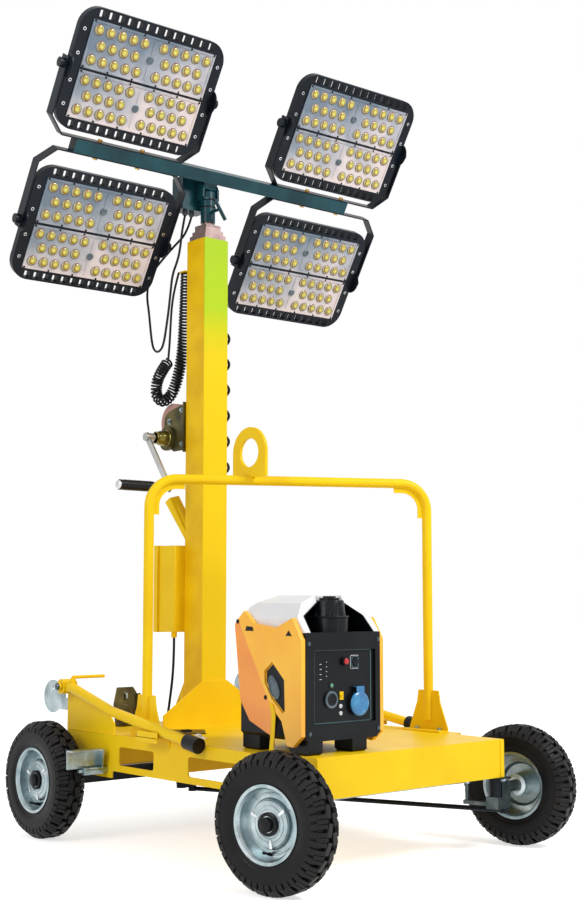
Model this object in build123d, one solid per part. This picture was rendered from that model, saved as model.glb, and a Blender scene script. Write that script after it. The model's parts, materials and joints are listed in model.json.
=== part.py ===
from build123d import *
import math
import os

# A hand-moved light tower: a four-wheeled steel deck with a small generator, a guard hoop
# with a lifting eye, a telescopic mast with a hand winch, and four floodlights on a tilting
# cross bar. Lengths are millimetres. X points forward, Y to the left, Z up.

# Wheels
tyre_od = 400.0
tyre_width = 110.0
tyre_clearance = 54.0
lug_pitches = 18
lug_depth = 7.0
lug_gap = 6.0
crown_half = 21.0
rim_flange_r = 111.0
rim_bed_r = 100.0
hub_r = 27.0
axle_r = 12.5
running_gap = 0.4
wheelbase = 1204.0

# Steering
steer_angle = 12.3
stub_length = 170.0
kingpin_r = 10.0
kingpin_wall = 9.0
steer_arm = 105.0
drag_arm = 62.0
tie_rod_z = 222.0
drag_link_z = 134.0
rod_r = 8.0
ball_r = 15.0

# Deck and frame
deck_z = 366.0
plate = 5.0
frame_depth = 123.0
deck_half_width = 468.5
front_inset = 53.0
deck_rear_x = -632.0
deck_wide_x = 400.0
deck_front_x = 635.0
rear_drop = 24.0
window_height = 62.0

# Mast
mast_x = -441.0
mast_y = 0.0
mast_size = 112.0
stage_wall = 5.0
stage_gap = 2.0
mast_top_z = 2183.0
stage_step = 17.0
stage_count = 3
spigot_r = 20.0
spigot_top_z = 2365.0

# Head
head_yaw = -2.0
head_tilt = 32.0
bar_z = 2433.6
bar_lift = 47.0
bar_size = 48.0
bar_wall = 4.0
bar_right = -609.0
bar_left = 665.0
lamp_width = 600.0
lamp_height = 430.0
lamp_frame_depth = 26.0
lamp_body_depth = 60.0
lamp_corner = 75.0
module_width = 511.0
module_height = 167.0
module_gap = 10.0
module_depth = 6.0
bracket_plate = 5.0
bracket_gap = 9.0
bracket_width = 44.0
pivot_r = 9.0

# Guard hoop
hoop_r = 17.0
hoop_inset = 26.5
hoop_skew = 453.0
hoop_mid_x = 47.0
hoop_top_z = 1249.0
hoop_bend = 95.0
eye_width = 178.0
eye_hole_r = 50.0
eye_rise = 80.0
eye_x = -20.0
eye_plate = 12.0

# Generator
gen_front_x = 590.0
gen_length = 325.0
gen_y = -262.0
gen_width = 340.0
gen_height = 470.0
gen_foot = 40.0
gen_panel_top = 359.0
shell_t = 17.0
facet_angle = 5.0
cap_height = 102.0

# Folding side handles and their rear corner brackets
handle_r = 17.0
handle_clearance = 12.0
handle_hinge_rise = 150.0
handle_bend_x = -306.0
handle_bend_rise = 80.0
handle_end_x = 129.0
handle_end_rise = 12.0
handle_eye_r = 26.0
release_x = -555.0
release_rise = 34.0
release_length = 130.0
hinge_bolt_r = 8.0
bracket_t = 6.0
bracket_length = 298.0
bracket_shoulder = 84.0
bracket_toe = 36.0
lug_r = 28.0
lock_r = 59.0
lock_back = 130.0
lock_inset = 20.0
lock_rise = 105.0
lock_t = 6.0

# Brake bars and foot pedal
brake_clearance = 22.0
brake_z = 246.0
pedal_x = -575.0
pedal_y = -250.0
pedal_width = 106.0
pedal_height = 130.0

# Cords
curl_r = 24.0
curl_top = 2068.0
box_drop = 24.0
box_height = 128.0
lead_r = 4.5

# Electrical box and brace on the mast
side_box_z = 702.0
side_box_height = 320.0
side_box_depth = 101.0
side_box_right = 100.0
side_box_left = 52.0
flange_t = 22.0
brace_low = 353.0
brace_rise = 145.0
brace_reach = 74.0
brace_r = 16.0

# Winch
winch_axis_x = -600.0
winch_axis_z = 1433.0
winch_half_width = 66.0
winch_drop = 58.0
winch_rise = 132.0
winch_depth = 128.0
cheek_t = 6.0
crank_y = -155.0
crank_length = 248.0
crank_angle = 54.2
grip_length = 145.0

wheel_r = tyre_od / 2
half_track = deck_half_width + tyre_clearance + tyre_width / 2
front_half_width = deck_half_width - front_inset
hoop_half_width = deck_half_width - hoop_inset
handle_y = deck_half_width + handle_clearance + handle_r
bracket_rear = deck_rear_x - bracket_t / 2
handle_hinge_x = bracket_rear + lug_r
handle_hinge_z = deck_z + handle_hinge_rise
half_base = wheelbase / 2
steer = math.radians(steer_angle)
frame_bottom = deck_z - frame_depth

parts = {}


def box(x0, x1, y0, y1, z0, z1):
    return Pos((x0 + x1) / 2, (y0 + y1) / 2, (z0 + z1) / 2) * Box(x1 - x0, y1 - y0, z1 - z0)


def rod(p, q, r):
    a, b = Vector(*p), Vector(*q)
    middle = Plane(origin=(a + b) * 0.5, z_dir=b - a)
    return middle.location * Cylinder(r, (b - a).length)


def tube_path(points, r, bends, hole=0.0):
    path = FilletPolyline(*points, radius=bends)
    start = Plane(origin=path @ 0, z_dir=path % 0)
    section = Circle(r) - Circle(hole) if hole else Circle(r)
    return sweep(start * section, path=path)


def cord_tube(points, r):
    """A cord's tube: straight runs joined by arcs as large as their two runs allow."""
    bends = []
    for before, corner, after in zip(points, points[1:], points[2:]):
        one, two = Vector(*corner) - Vector(*before), Vector(*after) - Vector(*corner)
        turn = math.radians(one.get_angle(two))
        bends.append(0.45 * min(one.length, two.length) / math.tan(turn / 2))
    print("cord radii", [round(bend) for bend in bends])
    return tube_path(points, r, bends)


def plate_xz(points, y0, thickness):
    face = make_face(Polyline(*points, close=True))
    return Pos(0, y0 + thickness, 0) * extrude(Plane.XZ * face, thickness)


def plate_yz(points, x0, thickness):
    face = make_face(Polyline(*points, close=True))
    return Pos(x0, 0, 0) * extrude(Plane.YZ * face, thickness)


def plate_xy(points, z0, thickness):
    face = make_face(Polyline(*points, close=True))
    return Pos(0, 0, z0) * extrude(face, thickness)


# Wheels: a wide tyre with a rounded crown of blocks, on a dished rim with its hub.
half_w = tyre_width / 2
bead_y = half_w - 9
# Half of the tyre's section from bead to crown: radius and distance from its middle plane.
tyre_half = (
    (rim_bed_r + 0.3, bead_y - 7),
    (rim_bed_r + 4, bead_y - 0.8),
    (rim_flange_r + 0.4, bead_y - 0.5),
    (wheel_r - 73, half_w - 2),
    (wheel_r - 48, half_w),
    (wheel_r - 24, half_w - 3),
    (wheel_r - 9, half_w - 13),
    (wheel_r, half_w - 30),
)
tyre_section = [*tyre_half, *((radius, -y) for radius, y in reversed(tyre_half))]
tyre = revolve(make_face(Polyline(*tyre_section, close=True)), axis=Axis.Y)
floor_r = wheel_r - lug_depth
for side in (1, -1):
    ring = make_face(
        Polyline(
            (floor_r, side * (crown_half - lug_gap / 2)),
            (wheel_r + 5, side * (crown_half - lug_gap / 2)),
            (wheel_r + 5, side * (crown_half + lug_gap / 2)),
            (floor_r, side * (crown_half + lug_gap / 2)),
            close=True,
        )
    )
    tyre -= revolve(ring, axis=Axis.Y)
# Each table row: side, share of a pitch and slant in degrees of the shoulder grooves.
groove_rows = ((1, 0.0, 14.0), (-1, 0.5, -14.0))
grooves = []
for side, share, slant in groove_rows:
    for number in range(lug_pitches):
        turn = Rot(0, 360 * (number + share) / lug_pitches, 0)
        shoulder = turn * Pos(0, side * (half_w - 15), wheel_r - 6) * Rot(-side * 38, 0, slant) * Box(
            lug_gap, half_w - crown_half + 12, 2 * lug_depth
        )
        grooves.append(shoulder)
for number in range(lug_pitches):
    turn = Rot(0, 360 * (number + 0.25) / lug_pitches, 0)
    grooves.append(turn * Pos(0, 0, wheel_r) * Rot(0, 0, 24) * Box(
        lug_gap, 2 * crown_half + lug_gap, 2 * lug_depth
    ))
tyre -= grooves

disc_y = -16.0
rim_points = (
    (rim_flange_r, -bead_y - 3),
    (rim_flange_r, -bead_y),
    (rim_bed_r + 4, -bead_y + 0.5),
    (rim_bed_r, -bead_y + 7),
    (rim_bed_r, bead_y - 7),
    (rim_bed_r + 4, bead_y - 0.5),
    (rim_flange_r, bead_y),
    (rim_flange_r, bead_y + 3),
    (rim_bed_r + 2, bead_y + 2),
    (rim_bed_r - 3, bead_y - 6),
    (rim_bed_r - 3, disc_y + 4),
    (rim_bed_r - 26, disc_y + 4),
    (rim_bed_r - 33, disc_y - 9),
    (hub_r + 12, disc_y - 12),
    (hub_r + 9, 24),
    (hub_r - 2, 30),
    (axle_r + running_gap, 30),
    (axle_r + running_gap, -36),
    (hub_r, -36),
    (hub_r, disc_y - 15),
    (hub_r + 14, disc_y - 15),
    (rim_bed_r - 36, disc_y - 12),
    (rim_bed_r - 28, disc_y),
    (rim_bed_r - 3, disc_y),
    (rim_bed_r - 3, -bead_y + 6),
    (rim_bed_r + 2, -bead_y - 2),
)
rim = revolve(make_face(Polyline(*rim_points, close=True)), axis=Axis.Y)

kingpin_right = (half_base, -half_track + stub_length)
kingpin_left = (half_base, half_track - stub_length)


def steered(side, local_x, local_out, z):
    """A point of one knuckle: local_x forward and local_out outward from the kingpin."""
    pin = kingpin_left if side > 0 else kingpin_right
    dx, dy = local_x, side * local_out
    return (
        pin[0] + dx * math.cos(steer) - dy * math.sin(steer),
        pin[1] + dx * math.sin(steer) + dy * math.cos(steer),
        z,
    )


wheel_places = {
    "front_right": (steered(-1, 0, stub_length, wheel_r), steer_angle, -1),
    "front_left": (steered(1, 0, stub_length, wheel_r), steer_angle, 1),
    "rear_right": ((-half_base, -half_track, wheel_r), 0.0, -1),
    "rear_left": ((-half_base, half_track, wheel_r), 0.0, 1),
}
for name, (centre, angle, side) in wheel_places.items():
    turn = angle if side < 0 else angle + 180
    place = Pos(*centre) * Rot(0, 0, turn)
    parts["tyre_" + name] = place * tyre
    parts["rim_" + name] = place * rim

# Steering knuckles: kingpin, stub axle with its end nut, track rod arm and drag arm.
stub_inner = stub_length + 30 + running_gap
stub_outer = stub_length - 36 - running_gap
housing_r = kingpin_r + kingpin_wall
housing_top = frame_bottom - plate
housing_bottom = 178.0
for side, name in ((1, "left"), (-1, "right")):
    x, y = kingpin_left if side > 0 else kingpin_right
    pin = Pos(x, y, (housing_bottom + housing_top) / 2 - 20) * Cylinder(
        kingpin_r, housing_top - housing_bottom + 40
    )
    block = Pos(x, y, 158) * Rot(0, 0, steer_angle) * Box(44, 44, 2 * (housing_bottom - 158) - 1)
    upright = Pos(*steered(side, 0, 44, 181)) * Rot(0, 0, steer_angle) * Box(36, 60, 84)
    upright -= Pos(x, y, 212) * Cylinder(housing_r + 3, 70)
    stub = rod(
        steered(side, 0, 40, wheel_r), steered(side, 0, stub_length + 44, wheel_r), axle_r
    )
    collar = rod(
        steered(side, 0, 60, wheel_r),
        steered(side, 0, stub_length - 30 - running_gap, wheel_r),
        axle_r + 6,
    )
    nut = rod(
        steered(side, 0, stub_length + 37, wheel_r),
        steered(side, 0, stub_length + 46, wheel_r),
        axle_r + 4,
    )
    arm = Pos(*steered(side, -steer_arm / 2, 0, 152)) * Rot(0, 0, steer_angle) * Box(
        steer_arm, 26, 12
    )
    arm += Pos(*steered(side, -steer_arm, 0, 152)) * Cylinder(14, 12)
    post = Pos(*steered(side, -steer_arm, 0, (158 + tie_rod_z - 9) / 2)) * Cylinder(
        7, tie_rod_z - 9 - 158
    )
    knuckle = pin + block + upright + stub + collar + nut + arm + post
    if side > 0:
        knuckle += Pos(*steered(side, 0, drag_arm / 2, drag_link_z + 7)) * Rot(
            0, 0, steer_angle
        ) * Box(30, drag_arm, 12)
        knuckle += Pos(*steered(side, 0, drag_arm, drag_link_z + 7)) * Cylinder(15, 12)
    parts["knuckle_" + name] = knuckle

# Track rod between the two arms, with an eye at each end.
joint_height = 18.0
tie_left = steered(1, -steer_arm, 0, tie_rod_z)
tie_right = steered(-1, -steer_arm, 0, tie_rod_z)
tie_y0, tie_y1 = tie_right[1] + 12, tie_left[1] - 12
tie_rod = rod((tie_left[0], tie_y0, tie_rod_z), (tie_left[0], tie_y1, tie_rod_z), rod_r)
for end in (tie_left, tie_right):
    tie_rod += Pos(*end) * Cylinder(ball_r, joint_height)
parts["track_rod"] = tie_rod

# Drag link from the left knuckle to the lever under the rear of the deck.
lever_x, lever_y = -500.0, -60.0
drag_front = steered(1, 0, drag_arm, drag_link_z - 8)
drag_rear = (
    lever_x - drag_arm * math.sin(steer),
    lever_y + drag_arm * math.cos(steer),
    drag_link_z - 8,
)
drag_link = rod(drag_front, drag_rear, rod_r)
for end in (drag_front, drag_rear):
    drag_link += Pos(*end) * Cylinder(ball_r, joint_height)
parts["drag_link"] = drag_link

lever_pin_top = deck_z - plate - 12
lever = Pos(lever_x, lever_y, (lever_pin_top + drag_link_z) / 2) * Cylinder(
    kingpin_r, lever_pin_top - drag_link_z
)
lever += Pos(lever_x - drag_arm / 2 * math.sin(steer), lever_y + drag_arm / 2 * math.cos(steer),
             drag_link_z + 7) * Rot(0, 0, steer_angle) * Box(30, drag_arm, 12)
lever += Pos(lever_x, lever_y, drag_link_z + 7) * Cylinder(18, 12)
lever += Pos(drag_rear[0], drag_rear[1], drag_link_z + 7) * Cylinder(15, 12)
parts["steering_lever"] = lever

# Deck frame: top plate, side plates with windows, front beam, cross members and bosses.
outline = (
    (deck_rear_x, -deck_half_width),
    (deck_wide_x, -deck_half_width),
    (deck_wide_x + 20, -front_half_width),
    (deck_front_x, -front_half_width),
    (deck_front_x, front_half_width),
    (deck_wide_x + 20, front_half_width),
    (deck_wide_x, deck_half_width),
    (deck_rear_x, deck_half_width),
)
deck_low = frame_bottom - rear_drop
tray_face = make_face(Polyline(*outline, close=True))
deck = Pos(0, 0, deck_low) * extrude(tray_face, deck_z - deck_low)
hollow = offset(tray_face, -plate, kind=Kind.INTERSECTION)
deck -= Pos(0, 0, deck_low - plate) * extrude(hollow, deck_z - deck_low)
drop_points = (
    (-345, deck_low - 10),
    (-345, deck_low),
    (-343, frame_bottom),
    (deck_front_x + 50, frame_bottom),
    (deck_front_x + 50, deck_low - 10),
)
deck -= plate_xz(drop_points, -deck_half_width - 50, 2 * deck_half_width + 100)
windows = ((-303, -102), (86, 335))
for x0, x1 in windows:
    hole = box(x0, x1, -deck_half_width - 50, deck_half_width + 50,
               deck_z - 39 - window_height, deck_z - 39)
    deck -= fillet(hole.edges().filter_by(Axis.Y), 10)
wheel_cut = (
    (deck_wide_x - 50, deck_low - 10),
    (deck_wide_x - 50, frame_bottom),
    (deck_wide_x - 8, deck_z - 36),
    (deck_wide_x + 19, deck_z - 36),
    (deck_wide_x + 19, deck_low - 10),
)
for y0 in (front_half_width + 1, -deck_half_width - 50):
    deck -= plate_xz(wheel_cut, y0, deck_half_width + 49 - front_half_width)
lip = front_half_width - plate / 2
deck += box(deck_front_x - 60, deck_front_x - plate / 2, -lip, lip, frame_bottom,
            frame_bottom + plate)
rib_half = deck_half_width - plate / 2
for x in (-350.0, -15.0):
    deck += box(x, x + plate, -rib_half, rib_half, frame_bottom + 20, deck_z - plate / 2)
saddle_x0, saddle_x1 = -123.0, -10.0
for side in (1, -1):
    y0, y1 = sorted((side * (deck_half_width - 1), side * (deck_half_width + plate)))
    deck += box(saddle_x0, saddle_x1, y0, y1, deck_z - 18, deck_z + 20)
parts["deck_frame"] = deck

# Front kingpin housings bolted under the frame, and the boss of the rear steering lever.
bosses = None
for x, y in (kingpin_left, kingpin_right):
    tube = Pos(x, y, (housing_bottom + housing_top) / 2) * (
        Cylinder(housing_r, housing_top - housing_bottom)
        - Cylinder(kingpin_r + running_gap, housing_top - housing_bottom)
    )
    cap = Pos(x, y, housing_top + plate / 2) * Box(90, 56, plate)
    one = tube + cap
    bosses = one if bosses is None else bosses + one
boss_top = deck_z - plate
boss_low = drag_link_z + 14
bosses += Pos(lever_x, lever_y, (boss_top + boss_low) / 2) * (
    Cylinder(housing_r, boss_top - boss_low)
    - Cylinder(kingpin_r + running_gap, boss_top - boss_low)
)
parts["steering_bosses"] = bosses

# Rear axle: a square beam under the side plates with a round shaft through it.
beam_top = frame_bottom - rear_drop
beam_half = 22.0
axle = box(-half_base - beam_half, -half_base + beam_half, -deck_half_width + 2,
           deck_half_width - 2, beam_top - 2 * beam_half, beam_top)
for side in (1, -1):
    inner, outer = side * (deck_half_width - 40), side * (half_track + 44)
    axle += rod((-half_base, inner, wheel_r), (-half_base, outer, wheel_r), axle_r)
    axle += rod((-half_base, side * (deck_half_width - 10), wheel_r),
                (-half_base, side * (half_track - 30 - running_gap), wheel_r), axle_r + 6)
    axle += rod((-half_base, side * (half_track + 37), wheel_r),
                (-half_base, side * (half_track + 46), wheel_r), axle_r + 4)
parts["rear_axle"] = axle

# Parking brake bars: an angle plate on a sleeve that stands just clear of each rear tyre.
brake_x = -half_base + wheel_r + brake_clearance
brakes = None
for side in (1, -1):
    s0, s1 = side * (deck_half_width + 0.2), side * (deck_half_width + 96)
    one = rod((brake_x, s0, brake_z), (brake_x, s1, brake_z), 14)
    one += rod((brake_x, s1, brake_z), (brake_x, side * (deck_half_width + 112), brake_z), 6)
    y0, y1 = sorted((side * (deck_half_width + 24), side * (deck_half_width + 150)))
    one += box(brake_x - 14, brake_x - 9, y0, y1, brake_z + 8, brake_z + 72)
    one += box(brake_x - 14, brake_x + 26, y0, y1, brake_z + 67, brake_z + 72)
    cheek = (
        (brake_x - 12, brake_z),
        (brake_x - 12, brake_z + 70),
        (brake_x + 24, brake_z + 70),
        (brake_x + 12, brake_z),
    )
    one += plate_xz(cheek, side * (deck_half_width + 24) - 2.5, 5)
    brakes = one if brakes is None else brakes + one
parts["brake_bars"] = brakes

# Rear corner brackets that carry the folding handles, each with a round lug.
bracket_y = deck_half_width - bracket_t
brackets = None
for side in (1, -1):
    y0 = bracket_y - 1 if side > 0 else -deck_half_width + 1
    profile = (
        (bracket_rear, deck_z),
        (bracket_rear, handle_hinge_z),
        (bracket_rear + 2 * lug_r, handle_hinge_z),
        (bracket_rear + bracket_length - 50, deck_z + bracket_shoulder),
        (bracket_rear + bracket_length, deck_z + bracket_toe),
        (bracket_rear + bracket_length, deck_z),
    )
    one = plate_xz(profile, y0, bracket_t)
    one += Pos(handle_hinge_x, y0 + bracket_t / 2, handle_hinge_z) * Rot(90, 0, 0) * Cylinder(
        lug_r, bracket_t
    )
    wing = (side * (deck_half_width - 60), side * (bracket_y - 1))
    one += box(bracket_rear, bracket_rear + bracket_t, min(wing), max(wing), deck_z,
               handle_hinge_z - 30)
    bolt_out = side * (handle_y + handle_r + 4)
    one += rod((handle_hinge_x, side * (bracket_y - 4), handle_hinge_z),
               (handle_hinge_x, bolt_out, handle_hinge_z), hinge_bolt_r)
    one += rod((handle_hinge_x, bolt_out, handle_hinge_z),
               (handle_hinge_x, bolt_out + side * 8, handle_hinge_z), 14)
    brackets = one if brackets is None else brackets + one
parts["handle_brackets"] = brackets

# Galvanised half round lock plates behind the brackets.
lock_x, lock_z = bracket_rear - lock_back, deck_z + lock_rise
release_swing = math.hypot(release_x - handle_hinge_x, release_rise)
locks = None
for side in (1, -1):
    y0 = side * (deck_half_width - lock_inset) - lock_t / 2
    disc = Pos(lock_x, y0 + lock_t / 2, lock_z) * Rot(90, 0, 0) * Cylinder(lock_r, lock_t)
    disc -= box(lock_x + 0.7 * lock_r, lock_x + 2 * lock_r, y0 - lock_t, y0 + 2 * lock_t,
                lock_z - 1.5 * lock_r, lock_z + 1.5 * lock_r)
    disc += box(lock_x - 8, bracket_rear - 0.2, y0, y0 + lock_t, lock_z - 0.75 * lock_r,
                lock_z + 0.6 * lock_r)
    disc -= Pos(lock_x + 0.1 * lock_r, y0 + lock_t / 2, lock_z + 0.5 * lock_r) * Rot(
        90, 0, 0
    ) * Cylinder(0.12 * lock_r, 4 * lock_t)
    notch_x = handle_hinge_x - release_swing
    disc -= box(notch_x - 14, notch_x + 18, y0 - lock_t, y0 + 2 * lock_t,
                handle_hinge_z - 46, lock_z + 2 * lock_r)
    locks = disc if locks is None else locks + disc
parts["lock_plates"] = locks

# Foot pedal: an upright slotted plate at the rear of the deck.
pedal_half = pedal_width / 2
pedal_outline = (
    (-pedal_half, 0),
    (-pedal_half, 0.55 * pedal_height),
    (-0.62 * pedal_half, pedal_height),
    (0.7 * pedal_half, pedal_height),
    (pedal_half, 0.8 * pedal_height),
    (pedal_half, 0),
)
pedal = plate_yz(pedal_outline, -3, 6)
pedal -= Pos(0, 0, 0.68 * pedal_height) * Box(30, 0.15 * pedal_width, 0.36 * pedal_height)
pedal += Pos(12, pedal_half - 3, 0.4 * pedal_height) * Box(24, 6, 0.8 * pedal_height)
pedal = Pos(pedal_x, pedal_y, deck_z + 9) * Rot(0, -10, 0) * pedal
pedal += box(pedal_x - 15, pedal_x + 30, pedal_y - pedal_half + 2, pedal_y + pedal_half - 2,
             deck_z, deck_z + 12)
parts["pedal_plate"] = pedal

# Folding side handles: a bent tube with a short release bar and a rubber end grip.
arm_start = (handle_hinge_x + 34, handle_hinge_z + 2)
arm_bend = (handle_bend_x, deck_z + handle_bend_rise)
arm_end = (handle_end_x, deck_z + handle_end_rise)
grip_slope = math.atan2(arm_bend[1] - arm_end[1], arm_end[0] - arm_bend[0])
grip_reach = 22.0
for side, name in ((1, "left"), (-1, "right")):
    y = side * handle_y
    path = (
        (arm_start[0], y, arm_start[1]),
        (arm_bend[0], y, arm_bend[1]),
        (arm_end[0], y, arm_end[1]),
    )
    arm = tube_path(path, handle_r, 90)
    eye = Pos(handle_hinge_x, y, handle_hinge_z) * Rot(90, 0, 0) * (
        Cylinder(handle_eye_r, 2 * handle_r) - Cylinder(hinge_bolt_r + running_gap, 2 * handle_r)
    )
    neck = box(handle_hinge_x + 14, arm_start[0] + 20, y - 0.7 * handle_r, y + 0.7 * handle_r,
               handle_hinge_z - 16, handle_hinge_z + 14)
    neck -= Pos(handle_hinge_x, y, handle_hinge_z) * Rot(90, 0, 0) * Cylinder(20, 60)
    release_z = handle_hinge_z + release_rise
    release = rod((release_x, y, release_z),
                  (release_x, side * (handle_y - release_length), release_z), 6)
    stalk = rod((release_x, y, handle_hinge_z + 6), (release_x, y, release_z), 8)
    parts["handle_" + name] = arm + eye + neck + release + stalk
    parts["handle_grip_" + name] = (
        Pos(
            arm_end[0] + grip_reach * math.cos(grip_slope),
            y,
            arm_end[1] - grip_reach * math.sin(grip_slope),
        )
        * Rot(0, 90 + math.degrees(grip_slope), 0)
        * (Cylinder(handle_r + 8, 62) - Pos(0, 0, -26.5) * Cylinder(handle_r + 0.2, 9))
    )
    parts["handle_grip_" + name] = parts["handle_grip_" + name] - (
        Pos(arm_end[0], y, arm_end[1]) * Rot(0, 90 + math.degrees(grip_slope), 0)
        * Pos(0, 0, -24.9) * Cylinder(handle_r + 0.2, 50)
    )

# Guard hoop: one bent tube set across the deck at a skew, with corner gussets and the eye.
hoop_right = (hoop_mid_x - hoop_skew / 2, -hoop_half_width)
hoop_left = (hoop_mid_x + hoop_skew / 2, hoop_half_width)
foot_height = 96.0
hoop_axis_z = hoop_top_z - hoop_r
leg_z = deck_z + foot_height * 0.4
hoop_points = (
    (*hoop_right, leg_z),
    (*hoop_right, hoop_axis_z),
    (*hoop_left, hoop_axis_z),
    (*hoop_left, leg_z),
)
hoop = tube_path(hoop_points, hoop_r, hoop_bend)
span = math.hypot(hoop_skew, 2 * hoop_half_width)
hoop_dir = (hoop_skew / span, 2 * hoop_half_width / span)
hoop_plane = Plane(
    origin=(hoop_mid_x, 0, 0),
    x_dir=(hoop_dir[0], hoop_dir[1], 0),
    z_dir=(hoop_dir[1], -hoop_dir[0], 0),
)
for sign in (1, -1):
    inner = sign * (span / 2 - hoop_r + 3)
    low = hoop_axis_z - hoop_r + 3
    reach, strip = 108.0, 20.0
    inside_r = hoop_bend - hoop_r
    cx, cz = inner - sign * inside_r, low - inside_r
    half_turn = math.sqrt(0.5)
    gusset = make_face(
        Line((inner, low - reach), (inner - sign * strip, low - reach))
        + Line((inner - sign * strip, low - reach), (inner - sign * strip, cz))
        + ThreePointArc(
            (inner - sign * strip, cz),
            (cx + sign * (inside_r - strip) * half_turn, cz + (inside_r - strip) * half_turn),
            (cx, low - strip),
        )
        + Line((cx, low - strip), (inner - sign * reach, low - strip))
        + Line((inner - sign * reach, low - strip), (inner - sign * reach, low))
        + Line((inner - sign * reach, low), (cx, low))
        + ThreePointArc(
            (cx, low), (cx + sign * inside_r * half_turn, cz + inside_r * half_turn), (inner, cz)
        )
        + Line((inner, cz), (inner, low - reach))
    )
    hoop += extrude(hoop_plane * gusset, 3, both=True)
eye_along = (eye_x - hoop_mid_x) / hoop_dir[0]
eye_y = eye_along * hoop_dir[1]
parts["guard_hoop"] = hoop

# Lifting eye: an upright plate along the vehicle, welded on top of the hoop's tube.
eye_bottom = hoop_top_z - 6
eye_hole_z = hoop_top_z + eye_rise
eye = Pos(eye_x, eye_y, (eye_bottom + eye_hole_z) / 2) * Box(
    eye_width, eye_plate, eye_hole_z - eye_bottom
)
eye += Pos(eye_x, eye_y, eye_hole_z) * Rot(90, 0, 0) * Cylinder(eye_width / 2, eye_plate)
eye -= Pos(eye_x, eye_y, eye_hole_z) * Rot(90, 0, 0) * Cylinder(eye_hole_r, 3 * eye_plate)
parts["lifting_eye"] = eye - hoop

# Hoop feet: a lengthwise plate on a base strip, slotted round each leg.
feet = None
for (x, y) in (hoop_right, hoop_left):
    profile = (
        (x - 90, deck_z),
        (x - 90, deck_z + 12),
        (x - 56, deck_z + foot_height),
        (x + 56, deck_z + foot_height),
        (x + 90, deck_z + 12),
        (x + 90, deck_z),
    )
    y0 = y - 4 if y < 0 else y - 2
    one = plate_xz(profile, y0, 6)
    one += box(x - 90, x + 90, min(y, y * 0.9), max(y, y * 0.9), deck_z, deck_z + 6)
    one -= Pos(x, y, leg_z + 60) * Cylinder(hoop_r + 0.05, 120)
    feet = one if feet is None else feet + one
parts["hoop_feet"] = feet

# Mast: an outer square tube with base plates, and three stages that slide inside it.
half = mast_size / 2
rear_face = mast_x - half
mast = Pos(mast_x, mast_y, (deck_z + mast_top_z) / 2) * (
    Box(mast_size, mast_size, mast_top_z - deck_z)
    - Box(mast_size - 2 * stage_wall, mast_size - 2 * stage_wall, mast_top_z - deck_z)
)
front_face = mast_x + half
base_half = 230.0
base_points = (
    (mast_y - base_half, deck_z),
    (mast_y - base_half, deck_z + 46),
    (mast_y - half, deck_z + 161),
    (mast_y + half, deck_z + 161),
    (mast_y + base_half, deck_z + 46),
    (mast_y + base_half, deck_z),
)
parts["mast_tube"] = mast
mast_brackets = plate_yz(base_points, front_face, 6)
for side in (1, -1):
    rib = (
        (mast_x - half, deck_z),
        (mast_x - half - 66, deck_z),
        (mast_x - half - 66, deck_z + 40),
        (mast_x - half, deck_z + 150),
    )
    y0 = mast_y + half - 6 if side > 0 else mast_y - half
    mast_brackets += plate_xz(rib, y0, 6)
near_x = rear_face - curl_r - 8
curl_y = mast_y - 34
mast_brackets += box(near_x - 12, rear_face, curl_y - 32, curl_y + 16, curl_top, curl_top + 4)
parts["mast_brackets"] = mast_brackets

stage_length = mast_top_z - deck_z - 60
for number in range(1, stage_count + 1):
    size = mast_size - 2 * number * (stage_wall + stage_gap)
    top = mast_top_z + number * stage_step
    bottom = deck_z + 12
    tube = Pos(mast_x, mast_y, (bottom + top) / 2) * (
        Box(size, size, top - bottom)
        - Box(size - 2 * stage_wall, size - 2 * stage_wall, top - bottom)
    )
    pad = size + 2 * (stage_gap - 0.3)
    tube += Pos(mast_x, mast_y, bottom + 40) * (
        Box(pad, pad, 50) - Box(size - 2 * stage_wall, size - 2 * stage_wall, 50)
    )
    if number == stage_count:
        tube += Pos(mast_x, mast_y, top + 4) * Box(size, size, 8)
        tube += Pos(mast_x, mast_y, (top + spigot_top_z) / 2) * Cylinder(
            spigot_r, spigot_top_z - top
        )
        stage_top = top + 8
    parts["mast_stage_" + str(number)] = tube

# Electrical box and brace on the rear of the mast.
side_box_top = side_box_z + side_box_height
side_box = box(rear_face - side_box_depth, rear_face, mast_y - side_box_right,
               mast_y + side_box_left, side_box_z, side_box_top)
side_box = fillet(side_box.edges().filter_by(Axis.Z), 4)
side_box += box(rear_face - side_box_depth - flange_t, rear_face - side_box_depth,
                mast_y - side_box_right - 8, mast_y + side_box_left + 8, side_box_z - 2,
                side_box_top + 2)
gland_x, gland_y = rear_face - 18, mast_y - side_box_right + 12
side_box += Pos(gland_x, gland_y, side_box_z - 10) * Cylinder(11, 20)
brace_z = side_box_z + brace_low
side_box += rod((rear_face, mast_y - 20, brace_z),
                (rear_face - brace_reach, mast_y - 62, brace_z + brace_rise), brace_r) - box(
    rear_face, rear_face + 60, mast_y - 200, mast_y + 200, brace_z - 150, brace_z + brace_rise
)
parts["mast_side_box"] = side_box

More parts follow.
